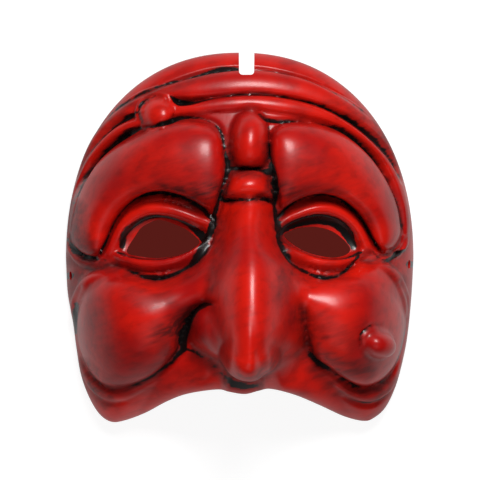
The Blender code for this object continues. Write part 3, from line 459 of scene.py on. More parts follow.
# The long bump between the brows, and the roll over the root of the nose
NOSE_ROOT: Forms = (
    Pillow((6, 68.5), (13, 66.5), (17, 60), (17.2, 48), (14.5, 40), (7, 37.2), (-1, 39), (-4.8, 47),
           (-4.8, 57), (-1, 65.5), height=19, blend=1.5),
    Pillow((-9.5, 21.5), (-8, 27), (-4, 33.5), (3.5, 36.6), (11.5, 36.4), (16, 33), (18.8, 27), (19.8, 21),
           (12, 20.6), (5, 20.2), (-3, 20.2), height=16),
    Crease((-5, 37.5, 1.2, 1.5), (3, 37.3, 1.5, 2.2), (12, 37, 1.4, 1.8), (17, 33, 1.2, 1)),
    Crease((-11, 20, 1.2, 1.5), (-3, 20.3, 1.3, 2), (6, 20.2, 1.3, 2), (13, 22, 1.8, 2.8),
           (20, 18, 1.5, 1.5)),
    Ink((-5.5, 37.5, 1, 1), (3, 37.2, 0.9, 0.81), (12, 37, 0.9, 0.9), (17, 35, 1.2, 1)),
    Ink((-10, 19.6, 1, 1), (-2, 20.2, 0.9, 0.81), (6, 20.4, 0.9, 0.68), (13, 20.8, 0.9, 1),
        (19, 19, 1.2, 1)),
    PatinaAndShade((-6, 48, 4, 0.5), (-4, 37, 5, 0.7), (16, 37, 5, 0.7), (15, 50, 4, 0.5)),
    PatinaAndShade((-8, 30, 4, 0.7), (-9, 23, 5, 0.9), (6, 20, 4, 0.5), (17, 23, 5, 0.9), (18, 31, 4, 0.7)),
)

# The eyes: the hollow inside the lids, and the hole cut in the lower part of its floor
LEFT_EYE: Points = (
    (-69.5, -8), (-68, 0), (-65.5, 4.3), (-60, 8.6), (-52.5, 11.6), (-44, 11.9), (-35, 9.8), (-26, 6.2),
    (-19, 4), (-20, -1), (-24, -5.2), (-30, -8.8), (-38, -11.2), (-47, -12.3), (-57, -11.7), (-65, -10.3),
)
RIGHT_EYE: Points = (
    (22.8, 1.5), (26.6, 6.6), (34.6, 10.6), (46, 12.6), (57.5, 10.2), (64.5, 5.2), (68.3, -0.5), (69.5, -7),
    (65, -10.4), (57.5, -12.1), (46.5, -11.7), (38, -9.6), (30, -5.8), (25.5, -2.2),
)
LEFT_HOLE: Points = (
    (-65, -8), (-60.3, 0.4), (-56.2, 5.5), (-49.5, 8.8), (-44.6, 9.3), (-37.1, 6.9), (-30.4, 4),
    (-24, -0.9), (-23.6, -3.5), (-28.8, -7.4), (-37.1, -10.1), (-47, -11.3), (-57, -10.5),
)
RIGHT_HOLE: Points = (
    (25.4, 1), (30, 3.8), (35, 5.2), (44, 5.6), (53, 3.3), (59.9, -1.4), (63.6, -6.2), (61.5, -9.3),
    (55.3, -11), (48.4, -10.5), (39.2, -8.3), (31.2, -4.3),
)

# The sockets and the lids round each eye hole
EYES: Forms = (
    Swale((-68, 2, 22, -5), (-45, 3, 26, -9), (-22, 5, 20, -7)),
    Swale((68, 0, 22, -5), (45, 3, 26, -9), (24, 5, 20, -7)),
    Pillow((-15, 8), (-24, 16), (-33, 20), (-42, 22), (-51, 22), (-59, 19.5), (-66, 14.5), (-71, 8),
           (-75, 0), (-78, -7), (-72, -14), (-64, -18), (-55, -20.5), (-47, -21), (-38, -19), (-29, -15),
           (-22, -9.5), (-17.5, -1), height=3, fullness=0.4, blend=0.8),
    Pillow((22, 8), (28, 15.5), (38, 19.7), (48, 20.7), (57, 18.5), (65, 13), (71, 6), (76, -2), (74, -9),
           (66, -15), (58, -19.5), (50, -21), (42, -19.5), (34, -15.5), (28, -9), (23, -1), height=3,
           fullness=0.4, blend=0.8),
    Roll((-17, 7.5, 2, 1.5), (-25, 10.2, 3, 3.4), (-34, 13.4, 3.4, 4.2), (-43, 15.3, 3.6, 4.4),
         (-52, 15.2, 3.6, 4.4), (-60, 12, 3.6, 4.2), (-66.5, 6.5, 3.4, 4), (-71, 0, 3.2, 3.6),
         (-75, -7, 3, 3), (-81, -13.5, 2.6, 1.5)),
    Roll((25, 8.5, 2, 1.5), (32, 12, 3, 3.4), (40, 15, 3.4, 4.2), (48, 16, 3.6, 4.4), (56, 14.2, 3.6, 4.4),
         (63, 10, 3.6, 4.2), (68.5, 3.5, 3.4, 4), (73, -4, 3.2, 3.6), (79, -8.5, 3, 3),
         (87, -10, 2.6, 1.5)),
    Roll((-21, -2.5, 1.6, 1.2), (-26, -7.2, 2.7, 3.6), (-36, -12.2, 3, 4.6), (-47, -14.4, 3.1, 4.8),
         (-58, -14, 3.1, 4.6), (-66, -11.8, 2.7, 3), (-73, -9, 2, 1)),
    Roll((26.5, -4, 1.6, 1.2), (31, -8.2, 2.7, 3.6), (40, -12, 3, 4.6), (49, -14, 3.1, 4.8),
         (58, -14.2, 3.1, 4.6), (66, -11.6, 2.7, 3), (71.5, -8, 2, 1)),
    Crease((-14.5, 5, 1.6, 2), (-17, 12, 2, 3), (-25, 17, 2, 3.2), (-34, 20.8, 2.1, 3.6),
           (-43, 22.6, 2.2, 4), (-52, 22.4, 2.1, 3.8), (-60, 19, 1.9, 3.2), (-67, 13.2, 1.8, 2.8),
           (-72, 6, 1.7, 2.8), (-76, -2.5, 1.6, 2.8), (-80.5, -9.5, 1.4, 2)),
    Crease((21.5, 4, 1.6, 2), (23.5, 11, 2, 3), (30, 16.5, 2, 3.2), (39, 20.3, 2.1, 3.6),
           (48, 21.4, 2.2, 4), (57, 19.3, 2.1, 3.8), (65, 14, 1.9, 3.2), (71, 7, 1.8, 2.8),
           (76, -1.5, 1.6, 2.6), (81.5, -7.5, 1.4, 1.6)),
    Crease((-15.5, 2, 1.6, 2), (-18.5, -5, 2, 3), (-24, -11.5, 2, 3.2), (-32, -17, 2, 3.4),
           (-41, -20.8, 2.1, 3.8), (-50, -22, 2.1, 3.8), (-58, -20, 2, 3.2), (-66, -16.5, 2.2, 2.6),
           (-73, -15, 1.6, 1)),
    Crease((22, 1, 1.6, 2), (25.5, -6.5, 2.1, 3.2), (31, -13.5, 2.1, 3.4), (39, -18.7, 2, 3.4),
           (48, -21.2, 2.1, 3.8), (56, -20.5, 2, 3.2), (63, -16.2, 1.8, 2.4), (68, -11.5, 1.4, 1)),
    Crease((-24.5, -12, 1.2, 1), (-34, -16, 1.6, 2.4), (-46, -18.2, 1.7, 2.8), (-57, -17.6, 1.6, 2.4),
           (-65, -15, 1.2, 1), top=1.5),
    Crease((29.5, -11.8, 1.2, 1), (38, -15.6, 1.6, 2.4), (48, -17.9, 1.7, 2.8), (57, -17.7, 1.6, 2.4),
           (64, -14.5, 1.2, 1), top=1.5),
    Crease((-24, 13.8, 1, 0.6), (-34, 17.4, 1.4, 1.6), (-44, 19.4, 1.5, 1.8), (-54, 19, 1.4, 1.4),
           (-62, 15, 1, 0.6), top=1.5),
    Crease((31, 14.6, 1, 0.6), (40, 18.4, 1.3, 1.4), (49, 19.4, 1.4, 1.6), (58, 16.6, 1.3, 1.4),
           (66, 9.5, 1, 0.6), top=1.5),
    Ink((-15, 12, 1.4, 1), (-16, 6, 1.8, 1), (-18.5, 1, 2, 1), (-21, -3, 1.6, 1)),
    Ink((-16, 9.5, 1.1, 1), (-22, 14.8, 0.9, 1), (-30, 19.2, 0.9, 1), (-38, 22.3, 1.3, 1),
        (-46, 23.4, 1.5, 1), (-54, 22.6, 1.3, 1), (-60, 19.8, 0.9, 0.76), (-66, 15, 0.9, 0.55),
        (-71.5, 8, 0.9, 0.55), (-75.5, -1, 0.9, 0.55), (-80, -9, 0.9, 0.68)),
    Ink((-68.5, -5, 1.2, 0.8), (-66, 2.5, 1.3, 0.8), (-60, 7.4, 1.3, 1), (-52, 10.6, 1.3, 1),
        (-44, 10.8, 1, 0.9), (-35, 8.6, 1, 0.8), (-27, 4.6, 1.7, 0.9), (-21, 0, 2.6, 1)),
    Ink((-20, -4, 1.6, 1), (-23.5, -9.5, 1.3, 1), (-30, -15, 0.9, 1), (-38, -19.2, 0.9, 0.95),
        (-46, -21.3, 1.1, 1), (-54, -20.8, 1, 1), (-61, -18.6, 0.9, 0.63), (-67, -17, 0.9, 0.34)),
    Ink((-70, -8.2, 0.9, 0.71), (-62, -10.9, 0.9, 0.58), (-50, -12.3, 0.9, 0.58), (-38, -11, 0.9, 0.51),
        (-28, -7.8, 0.9, 0.51)),
    Ink((21.5, 12, 1.3, 1), (22.5, 6, 1.7, 1), (23, 0, 1.9, 1), (24, -4, 1.6, 1)),
    Ink((23, 11, 1.1, 1), (28.5, 16, 0.9, 0.95), (37, 20, 0.9, 0.95), (46, 21.9, 0.9, 1),
        (55, 20.6, 1.1, 1), (63, 16, 0.9, 0.9), (70, 8.5, 0.9, 0.68), (76, -1.5, 0.9, 0.68),
        (80, -6.5, 0.9, 0.68)),
    Ink((25, 3, 1.4, 1), (30, 6.2, 2.2, 1), (38, 8.8, 2.8, 1), (47, 9.6, 3, 1), (56, 7.6, 2.9, 1),
        (62.5, 2.4, 2.7, 1), (66.5, -4.5, 2, 1)),
    Ink((23.5, -3, 1.4, 1), (26.5, -8.2, 1.2, 1), (32, -14.4, 0.9, 1), (40, -19, 0.9, 1), (48, -21, 1.1, 1),
        (56, -20, 0.9, 0.86), (63, -15.8, 0.9, 0.72), (67.5, -11, 0.9, 0.9)),
    Ink((28, -4.3, 0.9, 0.58), (38, -9.2, 0.9, 0.51), (48, -11.6, 0.9, 0.51), (60, -12, 0.9, 0.58),
        (69, -8.4, 0.9, 0.71)),
)

# The folds round the outer ends of the brows and down beside the cheeks
TEMPLES: Forms = (
    Roll((-99, 2, 1.4, 1.5), (-97, -6, 2, 2.6), (-91.5, -12.5, 2.6, 3), (-83, -14.5, 3, 2),
         (-74, -12.5, 2.4, 1)),
    Roll((96, 2, 1.4, 1.5), (94, -4.5, 2.2, 2.8), (88, -10, 2.4, 2.6), (80, -12, 2.6, 2),
         (70, -9.5, 2.4, 1)),
    Roll((-80, -19.5, 2, 1), (-87, -23, 2.4, 2.4), (-92.5, -30, 2.4, 2.8), (-95.8, -40, 2, 2.4),
         (-96, -52, 1.4, 1)),
    Roll((78, -13, 2, 1), (85, -16.5, 2.4, 2.4), (91, -23, 2.4, 2.8), (95, -32, 2.2, 2.4),
         (97.5, -44, 1.4, 1)),
    Crease((-98.3, -1, 1, 1), (-95.5, -6.5, 1.8, 3), (-89.5, -10.8, 1.8, 2.6), (-82, -12, 1.6, 1.5)),
    Crease((94.5, -1, 1, 1), (92, -6.3, 1.6, 2.8), (87, -9, 1.8, 2.6), (80, -9.8, 1.6, 1.5)),
    Crease((94, -7.5, 1, 1.5), (90.5, -8.8, 1.7, 3.6), (86, -12.3, 1.6, 2), (82, -14, 1.2, 1)),
    Ink((-98, -1, 0.9, 0.47), (-95, -6.5, 1.2, 1), (-90, -10, 1.1, 0.9), (-84, -11.5, 1.1, 0.7),
        (-77, -12, 1, 0.5)),
    Ink((-94.5, -52, 0.9, 0.55), (-94.6, -44, 1.2, 1), (-93.4, -36, 1, 0.8)),
    Ink((94.5, -7, 0.9, 0.81), (90.5, -9, 1.3, 1), (86, -12, 1.1, 0.9), (81, -12.5, 1, 0.6),
        (76, -8.5, 0.9, 0.6)),
    # Black round each strap hole: its black rim, and painted shade so that the hole reads dark.
    Ink((-99.5, -20.9, 1.8, 1), (-97.4, -20.9, 1.8, 1)),
    Ink((97.6, -14.7, 1.8, 1), (99.5, -14.7, 1.8, 1)),
    PatinaAndShade((-96, -12, 6, 0.5), (-84, -15, 6, 0.7), (-72, -16, 5, 0.6)),
    PatinaAndShade((-96, -30, 5, 0.4), (-92, -20, 6, 0.6)),
    PatinaAndShade((72, -10, 5, 0.6), (84, -14, 6, 0.7), (93, -24, 5, 0.4)),
)

# The full cheeks with the smile's folds under them, and the wart on the right one
CHEEKS: Forms = (
    Pillow((-89, -20), (-76, -16.5), (-66, -19), (-56, -22), (-46, -22.8), (-36, -20.3), (-27, -14.5),
           (-18, -5), (-6, -12), (-4, -26), (-12, -36), (-25, -41), (-31, -47), (-33.5, -54), (-35, -61),
           (-43, -70.5), (-52, -76.5), (-63, -80), (-73, -81), (-81, -78.5), (-88, -70.5), (-92.5, -60),
           (-94, -48), (-94, -36), (-93, -24), height=27, fullness=0.8, blend=4),
    Pillow((-68, -22), (-56, -24.5), (-46, -31), (-38, -42), (-36, -58), (-42.5, -69), (-52, -76),
           (-63, -79.8), (-73, -80.8), (-81, -78.2), (-87.5, -70), (-91.8, -60), (-93.3, -48), (-91.5, -36),
           (-82, -26), height=23, fullness=0.34, blend=9),
    Pillow((91, -18), (82, -14), (70, -13.5), (62, -17.5), (54, -21.3), (46, -22), (38, -19.5), (30, -13.8),
           (23.5, -4), (13, -12), (11, -26), (18, -36), (31, -41), (37, -48), (39.5, -56), (42, -65),
           (50, -71), (59, -77), (67, -80.5), (75, -80.8), (83, -77), (90, -69), (94, -58), (95.5, -46),
           (95.5, -34), (94, -22), height=27, fullness=0.8, blend=4),
    Pillow((74, -23), (60, -21), (47, -23.5), (39.5, -31), (38.5, -45), (40.5, -57), (43.5, -65.5),
           (51, -71.2), (60, -77.2), (68, -80.3), (75, -80.6), (83, -76.8), (89.5, -68.5), (93.5, -58),
           (94.8, -47), (92.5, -38), (85.5, -29), height=23, fullness=0.34, blend=9),
    Roll((78.6, -57.2, 9.4, 3), (79.2, -57.4, 9.4, 3), top=3),
    Roll((79.2, -57.8, 7.6, 12), (79.8, -58, 7.6, 12)),
    Roll((56, -79.5, 1.5, 1), (65, -84.5, 2.8, 2.6), (74, -86.3, 3.2, 3), (83, -83, 3, 2.8),
         (89.5, -76.5, 2.4, 2), (93.5, -68, 1.6, 1)),
    Roll((-56, -82, 1.5, 0.5), (-66, -85.3, 2.8, 1.2), (-75, -85.8, 3, 1.5), (-84, -80.5, 2.8, 1.8),
         (-90, -71.5, 2.2, 1.6), (-93.5, -62, 1.4, 1)),
    Crease((-14, -33.5, 1.5, 0.6), (-20, -35, 2, 2), (-26.5, -39, 2.4, 3.6), (-30.5, -45, 3, 4.5),
           (-33, -53, 3.4, 4.5), (-34, -61, 2.8, 3.6), (-42, -70.5, 2.4, 3), (-52, -77.2, 2.2, 2.4),
           (-63, -81, 2, 1.6), (-74, -82, 1.6, 1.2), (-84, -77, 1.6, 1.6), (-91, -66, 1.4, 2),
           (-94.5, -52, 1.4, 2.4), (-94.3, -38, 1.5, 2.6), (-90, -27, 1.2, 1)),
    Crease((34, -44, 1.4, 0.2), (37.5, -50, 1.8, 0.4), (39.5, -58, 2, 1), (42.5, -66, 2.4, 2.6),
           (51, -72.5, 2.6, 3.6), (60, -78.6, 2.6, 3.6), (69, -82.2, 2.2, 3.2), (78, -81, 1.8, 2.6),
           (86.5, -75, 1.6, 2.4), (92.5, -65, 1.4, 2.2), (96, -50, 1.2, 2), (96, -36, 1.2, 2),
           (91, -24.5, 1, 1)),
    Crease((60, -86.5, 1.5, 0.8), (68, -90, 2.6, 2.2), (77, -90.3, 2.6, 2.4), (86, -84.5, 2, 2),
           (92, -75, 1.4, 1), top=1.5, side=1.5),
    Crease((-66, -89, 2, 0.3), (-76, -89.5, 2.8, 0.6), (-84, -85, 2.4, 0.7), (-90.5, -75.5, 1.6, 0.5),
           top=1.5, side=1.5),
    Crease((69, -60, 0.8, 0.4), (69.6, -53.5, 0.9, 1), (74.5, -48.2, 0.9, 1), (81, -47.4, 0.8, 0.5),
           top=1.5),
    Ink((-32, -61, 1, 1), (-39, -68.6, 0.9, 0.6), (-48, -75, 0.9, 0.6), (-57, -79.4, 1.1, 0.6),
        (-64, -81.6, 0.9, 0.3)),
    Ink((38, -60, 0.9, 0.4), (42, -66, 1.2, 0.8), (48, -70.6, 1.3, 0.8), (54, -74.8, 0.9, 0.3),
        (61, -79.2, 1.2, 0.5), (68, -82, 1.1, 0.5), (76, -81.6, 0.9, 0.2), (84, -77, 0.9, 0.2),
        (91, -67, 0.9, 0.4), (95.5, -50, 0.9, 0.35)),
    Ink((66, -89, 0.9, 0.45), (76, -89.8, 0.9, 0.67), (85, -84.5, 0.9, 0.54)),
    Ink((69.4, -58, 0.9, 0.2), (70, -52.5, 0.9, 0.5), (75, -48, 0.9, 0.5), (81, -47.6, 0.9, 0.2)),
    Ink((73, -67, 0.9, 0.1), (79, -69, 0.9, 0.2), (85, -68, 0.9, 0.1)),
    PatinaAndShade((-64, -20, 5, 0.5), (-48, -25, 5, 0.4), (-30, -20, 5, 0.4), (-20, -8, 5, 0.5)),
    PatinaAndShade((-30, -42, 8, 0.8), (-40, -50, 12, 0.95), (-54, -54, 9, 0.5)),
    # Painted shade along the left cheek's lower edge and in the fold under it, where the cheek hangs over
    # the lip.
    PatinaAndShade((-38, -62, 6, 0.6), (-56, -76, 7, 0.5), (-76, -80, 7, 0.5), (-88, -70, 6, 0.5)),
    PatinaAndShade((-91, -68, 4, 0.5), (-85, -78, 6, 0.75), (-77, -88, 7, 0.6)),
    # Painted shade in the right cheek's fold and along its lower edge, where it hangs over the lip.
    PatinaAndShade((34, -40, 7, 0.5), (40, -54, 8, 0.5), (46, -64, 8, 0.7), (58, -70, 9, 0.8), (72, -72, 8, 0.7)),
    PatinaAndShade((60, -22, 5, 0.3), (44, -24, 5, 0.3), (28, -18, 6, 0.5), (24, -30, 6, 0.4)),
    # Painted shade on the lip under the right cheek.
    PatinaAndShade((66, -84, 6, 0.5), (78, -85, 7, 0.6), (88, -78, 5, 0.5)),
    PatinaAndShade((-62, -30, 9, 0.35), (-46, -34, 9, 0.45), (-34, -38, 7, 0.4)),
    PatinaAndShade((-80, -40, 10, 0.3), (-76, -60, 12, 0.35), (-60, -66, 12, 0.35)),
    PatinaAndShade((42, -46, 12, 0.45), (58, -54, 14, 0.45), (68, -50, 9, 0.3)),
)

# The nose's two main forms, and the height over the dome that they are drawn for
NOSE_BRIDGE: Stroke = Stroke(
    (6, 18, 12, 13), (6.5, 6, 19, 23), (7, -9, 26, 33), (7.5, -25, 33, 41.5), (7.5, -40, 35, 47),
    (7, -50, 29, 49), (6.5, -56, 20, 48), top=1.9, side=1.3, blend=5,
)
NOSE_BALL: Stroke = Stroke(
    (6.5, -46, 12, 38), (6, -54, 16.5, 46), (5.8, -59.5, 18.5, 50), top=2.3, blend=8,
)
NOSE_FULL_HEIGHT: float = 52.0

# The hooked nose: its bridge, its ball and its wings
NOSE: Forms = (
    Swale((5, 10, 26, 2), (6, -20, 36, 9), (6, -45, 44, 11)),
    Pillow((-14, -33), (-21, -35.5), (-27, -40.5), (-29.5, -48), (-28, -55.5), (-22.5, -61), (-14, -66),
           (-4, -70), (6, -60), (4, -40), (-4, -34), height=25, fullness=0.46, blend=4),
    Pillow((20, -35), (27.5, -37), (33.5, -42), (37, -49.5), (36.5, -57), (32.5, -62), (25, -65), (16, -67),
           (6, -60), (8, -40), (14, -34.5), height=25, fullness=0.46, blend=4),
    Ink((-16, -34.6, 0.9, 0.81), (-20.5, -36, 1.1, 1), (-25.5, -40, 1.4, 1), (-29, -45, 1.9, 1),
        (-31.3, -50.5, 2.3, 1), (-32.4, -56, 2.2, 1), (-32, -61, 1.6, 1)),
    Ink((-30, -60.8, 0.9, 0.8), (-25, -62.5, 1.4, 0.6), (-19, -66.5, 1, 0.1), (-13, -71, 0.9, 0.1),
        (-8, -75.6, 1, 0.6), (-3, -79.5, 1.9, 1), (4, -80.8, 1.4, 1), (10, -80.6, 0.9, 0.4)),
    PatinaAndShade((-12, 8, 6, 0.6), (-14, -6, 6, 0.5), (-17, -26, 5, 0.4)),
    PatinaAndShade((22, 10, 6, 0.6), (25, -6, 6, 0.4)),
    # Painted shade under the nose's ball and its left wing, where the nose hangs over the lip.
    PatinaAndShade((-4, -72, 9, 0.6), (8, -73, 10, 0.75), (20, -62, 8, 0.4)),
    PatinaAndShade((-26, -64, 5, 0.5), (-14, -70, 6, 0.7), (-4, -78, 5, 0.8), (10, -80, 5, 0.7)),
)

# The upper lip's slope down to the open mouth
MOUTH: Forms = (
    Swale((-40, -82, 20, 2), (3, -74, 22, 4), (44, -82, 20, 2)),
    # Painted shade on the lip under each cheek.
    PatinaAndShade((-60, -86, 8, 0.4), (-44, -82, 9, 0.3), (-26, -76, 9, 0.4)),
    PatinaAndShade((36, -66, 6, 0.5), (52, -78, 7, 0.6), (64, -86, 7, 0.6)),
)

REGIONS: tuple[Forms, ...] = (FOREHEAD, BROWS, NOSE_ROOT, EYES, TEMPLES, CHEEKS, NOSE, MOUTH)


def every(kind: type[Stroke] | type[Pillow]) -> list[Stroke | Pillow]:
    """All forms of one kind, region after region."""
    return [form for region in REGIONS for form in region if isinstance(form, kind)]


@dataclass(frozen=True)
class Dome:
    """The plain shell that everything is carved on, cut to the mask's outline, with places in hundredths."""

    sizes: Measures
    upper_centre: float = -12.0
    upper_power: float = 2.2
    upper_steps: int = 80
    top_rise: Pair = (38, 98)
    lip_centre: float = 3.0
    lip_rise: Pair = (-76, -8)
    chin_rise: Pair = (76, 96)
    lower_start: float = -60.0
    lower_rise: Pair = (78, 84)
    turns: int = 720
    calm_spread: int = 28
    edge_band: Pair = (0.2, 1)

    def outline(self) -> tuple[np.ndarray, np.ndarray, np.ndarray]:
        """Tables of angle, reach and rim height round the outline, in millimetres.

        Returns:
            The angles, evenly round from -pi, and the reach and the rim's height at each.
        """
        sizes = self.sizes
        turn = np.linspace(0, math.pi, self.upper_steps)
        power = 2 / self.upper_power
        upper_x = 100 * np.sign(np.cos(turn)) * np.abs(np.cos(turn)) ** power
        upper_y = self.upper_centre + (100 - self.upper_centre) * np.sin(turn) ** power
        lower = spline(LOWER_OUTLINE)[1:-1]
        x = np.concatenate([upper_x, lower[::-1, 0]])
        y = np.concatenate([upper_y, lower[::-1, 1]])
        rise = sizes.top_edge_lift * smooth_step(y, *self.top_rise)
        lip = sizes.lip_edge_lift * smooth_step(-np.abs(x - self.lip_centre), *self.lip_rise)
        chin = sizes.chin_tip_lift * smooth_step(-y, *self.chin_rise)
        under = np.maximum(lip * smooth_step(-y, *self.lower_rise), chin)
        rim = rise + np.where(y < self.lower_start, under, 0)
        angle = np.arctan2(y * sizes.along, x * sizes.across)
        order = np.argsort(angle)
        angles = np.linspace(-math.pi, math.pi, self.turns, endpoint=False)
        reach = np.hypot(x * sizes.across, y * sizes.along)[order]
        reaches = np.interp(angles, angle[order], reach, period=FULL_TURN)
        return angles, reaches, np.interp(angles, angle[order], rim[order], period=FULL_TURN)

    def calmed(self, table: np.ndarray) -> np.ndarray:
        """A table round the outline with its sharp turns smoothed away.

        Args:
            table: values evenly round the outline.

        Returns:
            As many values, calmed.
        """
        spread = self.calm_spread
        weights = np.exp(-0.5 * (np.arange(-3 * spread, 3 * spread + 1) / spread) ** 2)
        wrapped = np.concatenate([table[-3 * spread :], table, table[: 3 * spread]])
        return np.convolve(wrapped, weights / weights.sum(), "valid")

    def points(self, share: np.ndarray, angle: np.ndarray) -> np.ndarray:
        """Place points on the dome.

        Args:
            share: how far each is on its way to the edge, 0 to 1.
            angle: its angle about the middle.

        Returns:
            Points in millimetres.
        """
        angles, reaches, rims = self.outline()
        near_edge = smooth_step(share, *self.edge_band)
        reach, calm_reach, rim, calm_rim = (
            np.interp(angle, angles, table, period=FULL_TURN)
            for table in (reaches, self.calmed(reaches), rims, self.calmed(rims))
        )
        radius = (calm_reach + (reach - calm_reach) * near_edge) * np.sin(share * math.pi / 2)
        height = calm_rim + (self.sizes.crown - calm_rim) * np.cos(share * math.pi / 2)
        height += (rim - calm_rim) * near_edge
        return np.column_stack([radius * np.cos(angle), radius * np.sin(angle), height])


@dataclass(frozen=True)
class DiscGrid:
    """A square grid of vertices bent to fill a disc."""

    rows: int
    columns: int

    def polar(self) -> tuple[np.ndarray, np.ndarray]:
        """Share of the way to the edge and angle of each vertex, row by row.

        Returns:
            The shares and the angles.
        """
        u, v = np.meshgrid(np.linspace(-1, 1, self.columns), np.linspace(-1, 1, self.rows))
        p, q = u * np.sqrt(1 - v * v / 2), v * np.sqrt(1 - u * u / 2)
        return np.clip(np.hypot(p, q), 0, 1).ravel(), np.arctan2(q, p).ravel()

    def normals(self, points: np.ndarray) -> np.ndarray:
        """Unit normals of the grid's points, facing out of the face.

        Args:
            points: the grid's points, row by row.

        Returns:
            One normal a point.
        """
        sheet = points.reshape(self.rows, self.columns, 3)
        normal = np.cross(np.gradient(sheet, axis=1), np.gradient(sheet, axis=0)).reshape(-1, 3)
        return normal / np.maximum(np.linalg.norm(normal, axis=1, keepdims=True), TINY)

    def softened(self, points: np.ndarray, passes: int) -> np.ndarray:
        """The points, or one value a point, with sharp turns rounded off.

        Args:
            points: the grid's points or values, row by row.
            passes: how often they are averaged.

        Returns:
            As many points or values.
        """
        sheet = points.reshape(self.rows, self.columns, -1).copy()
        for _ in range(passes):
            around = sheet[:-2, 1:-1] + sheet[2:, 1:-1] + sheet[1:-1, :-2] + sheet[1:-1, 2:]
            sheet[1:-1, 1:-1] = sheet[1:-1, 1:-1] / 2 + around / 8
        return sheet.reshape(points.shape)

    def edge(self) -> np.ndarray:
        """Find the vertices on the grid's edge.

        Returns:
            Whether each vertex is one, row by row.
        """
        edge = np.zeros((self.rows, self.columns), bool)
        edge[[0, -1], :] = edge[:, [0, -1]] = True
        return edge.ravel()

    def triangles(self) -> list[list[int]]:
        """The grid's squares, each split in two.

        Returns:
            The triangles, each as three vertex numbers.
        """
        corner = (np.arange(self.rows - 1)[:, None] * self.columns + np.arange(self.columns - 1)).ravel()
        far = corner + self.columns
        first = np.column_stack([corner, corner + 1, far + 1])
        second = np.column_stack([corner, far + 1, far])
        return np.vstack([first, second]).tolist()


@dataclass(frozen=True)
class Sculpture:
    """The carved surface and the paint that goes with it, worked out on a grid in millimetres."""

    sizes: Measures
    grid: DiscGrid
    side_depth: float = 0.4
    side_fade: float = 0.35
    edge_fade: float = 0.16
    normal_lift: float = 0.8
    droop_start: float = 6.0
    droop_band: Pair = (10, 45)
    rows_per_calm_pass: int = 12
    eye_fullness: float = 0.3
    hollow_passes: int = 10
    hollow_range: Pair = (0.05, 0.55)
    ink_feather: float = 1.0

    def forms(self, plan: np.ndarray) -> np.ndarray:
        """Height of the full forms over the dome, in millimetres.

        Args:
            plan: places in millimetres.

        Returns:
            One height a place.
        """
        sizes = self.sizes
        ground = sum(swale.swell(plan, sizes) for swale in every(Swale))
        result = ground.copy()
        for mass in every(Pillow):
            result = soft_max(result, mass.height(plan, sizes) + ground, mass.blend)
        share = sizes.nose_projection / (NOSE_FULL_HEIGHT * sizes.across)
        for part in (NOSE_BRIDGE, NOSE_BALL):
            result = soft_max(result, part.height(plan, sizes) * share + ground, part.blend)
        for wart in every(Wart):
            result += soft_max(np.zeros(len(plan)), wart.height(plan, sizes), wart.blend)
        return result

    def surface(self) -> np.ndarray:
        """Carve the outer surface.

        Returns:
            Its points in millimetres, row by row.
        """
        sizes, grid = self.sizes, self.grid
        share, angle = grid.polar()
        points = Dome(sizes).points(share, angle)
        plan = points[:, :2].copy()
        points[:, 2] += self.forms(plan)
        out = points[:, 2] - sizes.crown - self.droop_start
        hang = np.clip(out / sizes.nose_projection, 0, 1)
        points[:, 1] -= sizes.nose_droop * hang * smooth_step(-plan[:, 1], *self.droop_band)
        calm = grid.softened(points, grid.rows // self.rows_per_calm_pass)
        normals = grid.normals(calm) + np.array([0, 0, self.normal_lift])
        normals /= np.linalg.norm(normals, axis=1, keepdims=True)
        relief = self.relief(plan, 1 - share)
        return grid.softened(points + normals * relief[:, None], 1)

    def relief(self, plan: np.ndarray, inward: np.ndarray) -> np.ndarray:
        """Work out the rolls, the creases and the eyes' hollows.

        Args:
            plan: places in millimetres.
            inward: how far each is in from the edge, 0 to 1.

        Returns:
            Heights along the surface's normals, in millimetres.
        """
        sizes = self.sizes
        relief = np.zeros(len(plan))
        for roll in every(Roll):
            relief = np.maximum(relief, roll.swell(plan, sizes))
        depth_share = self.side_depth + (1 - self.side_depth) * smooth_step(inward, 0, self.side_fade)
        for crease in every(Crease):
            relief -= crease.swell(plan, sizes) * depth_share
        depth = sizes.eye_hollow_depth / sizes.across
        for outline in (LEFT_EYE, RIGHT_EYE):
            hollow = Pillow(*outline, height=depth, fullness=self.eye_fullness)
            relief -= np.maximum(hollow.height(plan, sizes), 0)
        return relief * smooth_step(inward, 0, self.edge_fade)

    def inks(self, plan: np.ndarray) -> np.ndarray:
        """How deep inside the black brush strokes each vertex lies, a half at their edges.

        Args:
            plan: places in millimetres.

        Returns:
            Values from 0 to 1.
        """
        black = np.zeros(len(plan))
        for ink in every(Ink):
            black = np.maximum(black, ink.cover(plan, self.sizes, self.ink_feather))
        return np.clip(black, 0, 1)

    def hollowness(self, points: np.ndarray) -> np.ndarray:
        """How far each vertex is sunk among its neighbours, 0 to 1.

        Args:
            points: the surface's points, row by row.

        Returns:
            Values from 0 to 1.
        """
        calm = self.grid.softened(points, self.hollow_passes)
        sunk = ((calm - points) * self.grid.normals(calm)).sum(1)
        return self.grid.softened(smooth_step(sunk, *self.hollow_range), 2)

    def smudges(self, plan: np.ndarray) -> np.ndarray:
        """How much patina and painted shade darken the open surface at each vertex, 0 to 1.

        Args:
            plan: places in millimetres.

        Returns:
            Values from 0 to 1.
        """
        dark = np.zeros(len(plan))
        for smudge in every(PatinaAndShade):
            dark = np.maximum(dark, smudge.swell(plan, self.sizes) / self.sizes.across)
        return dark


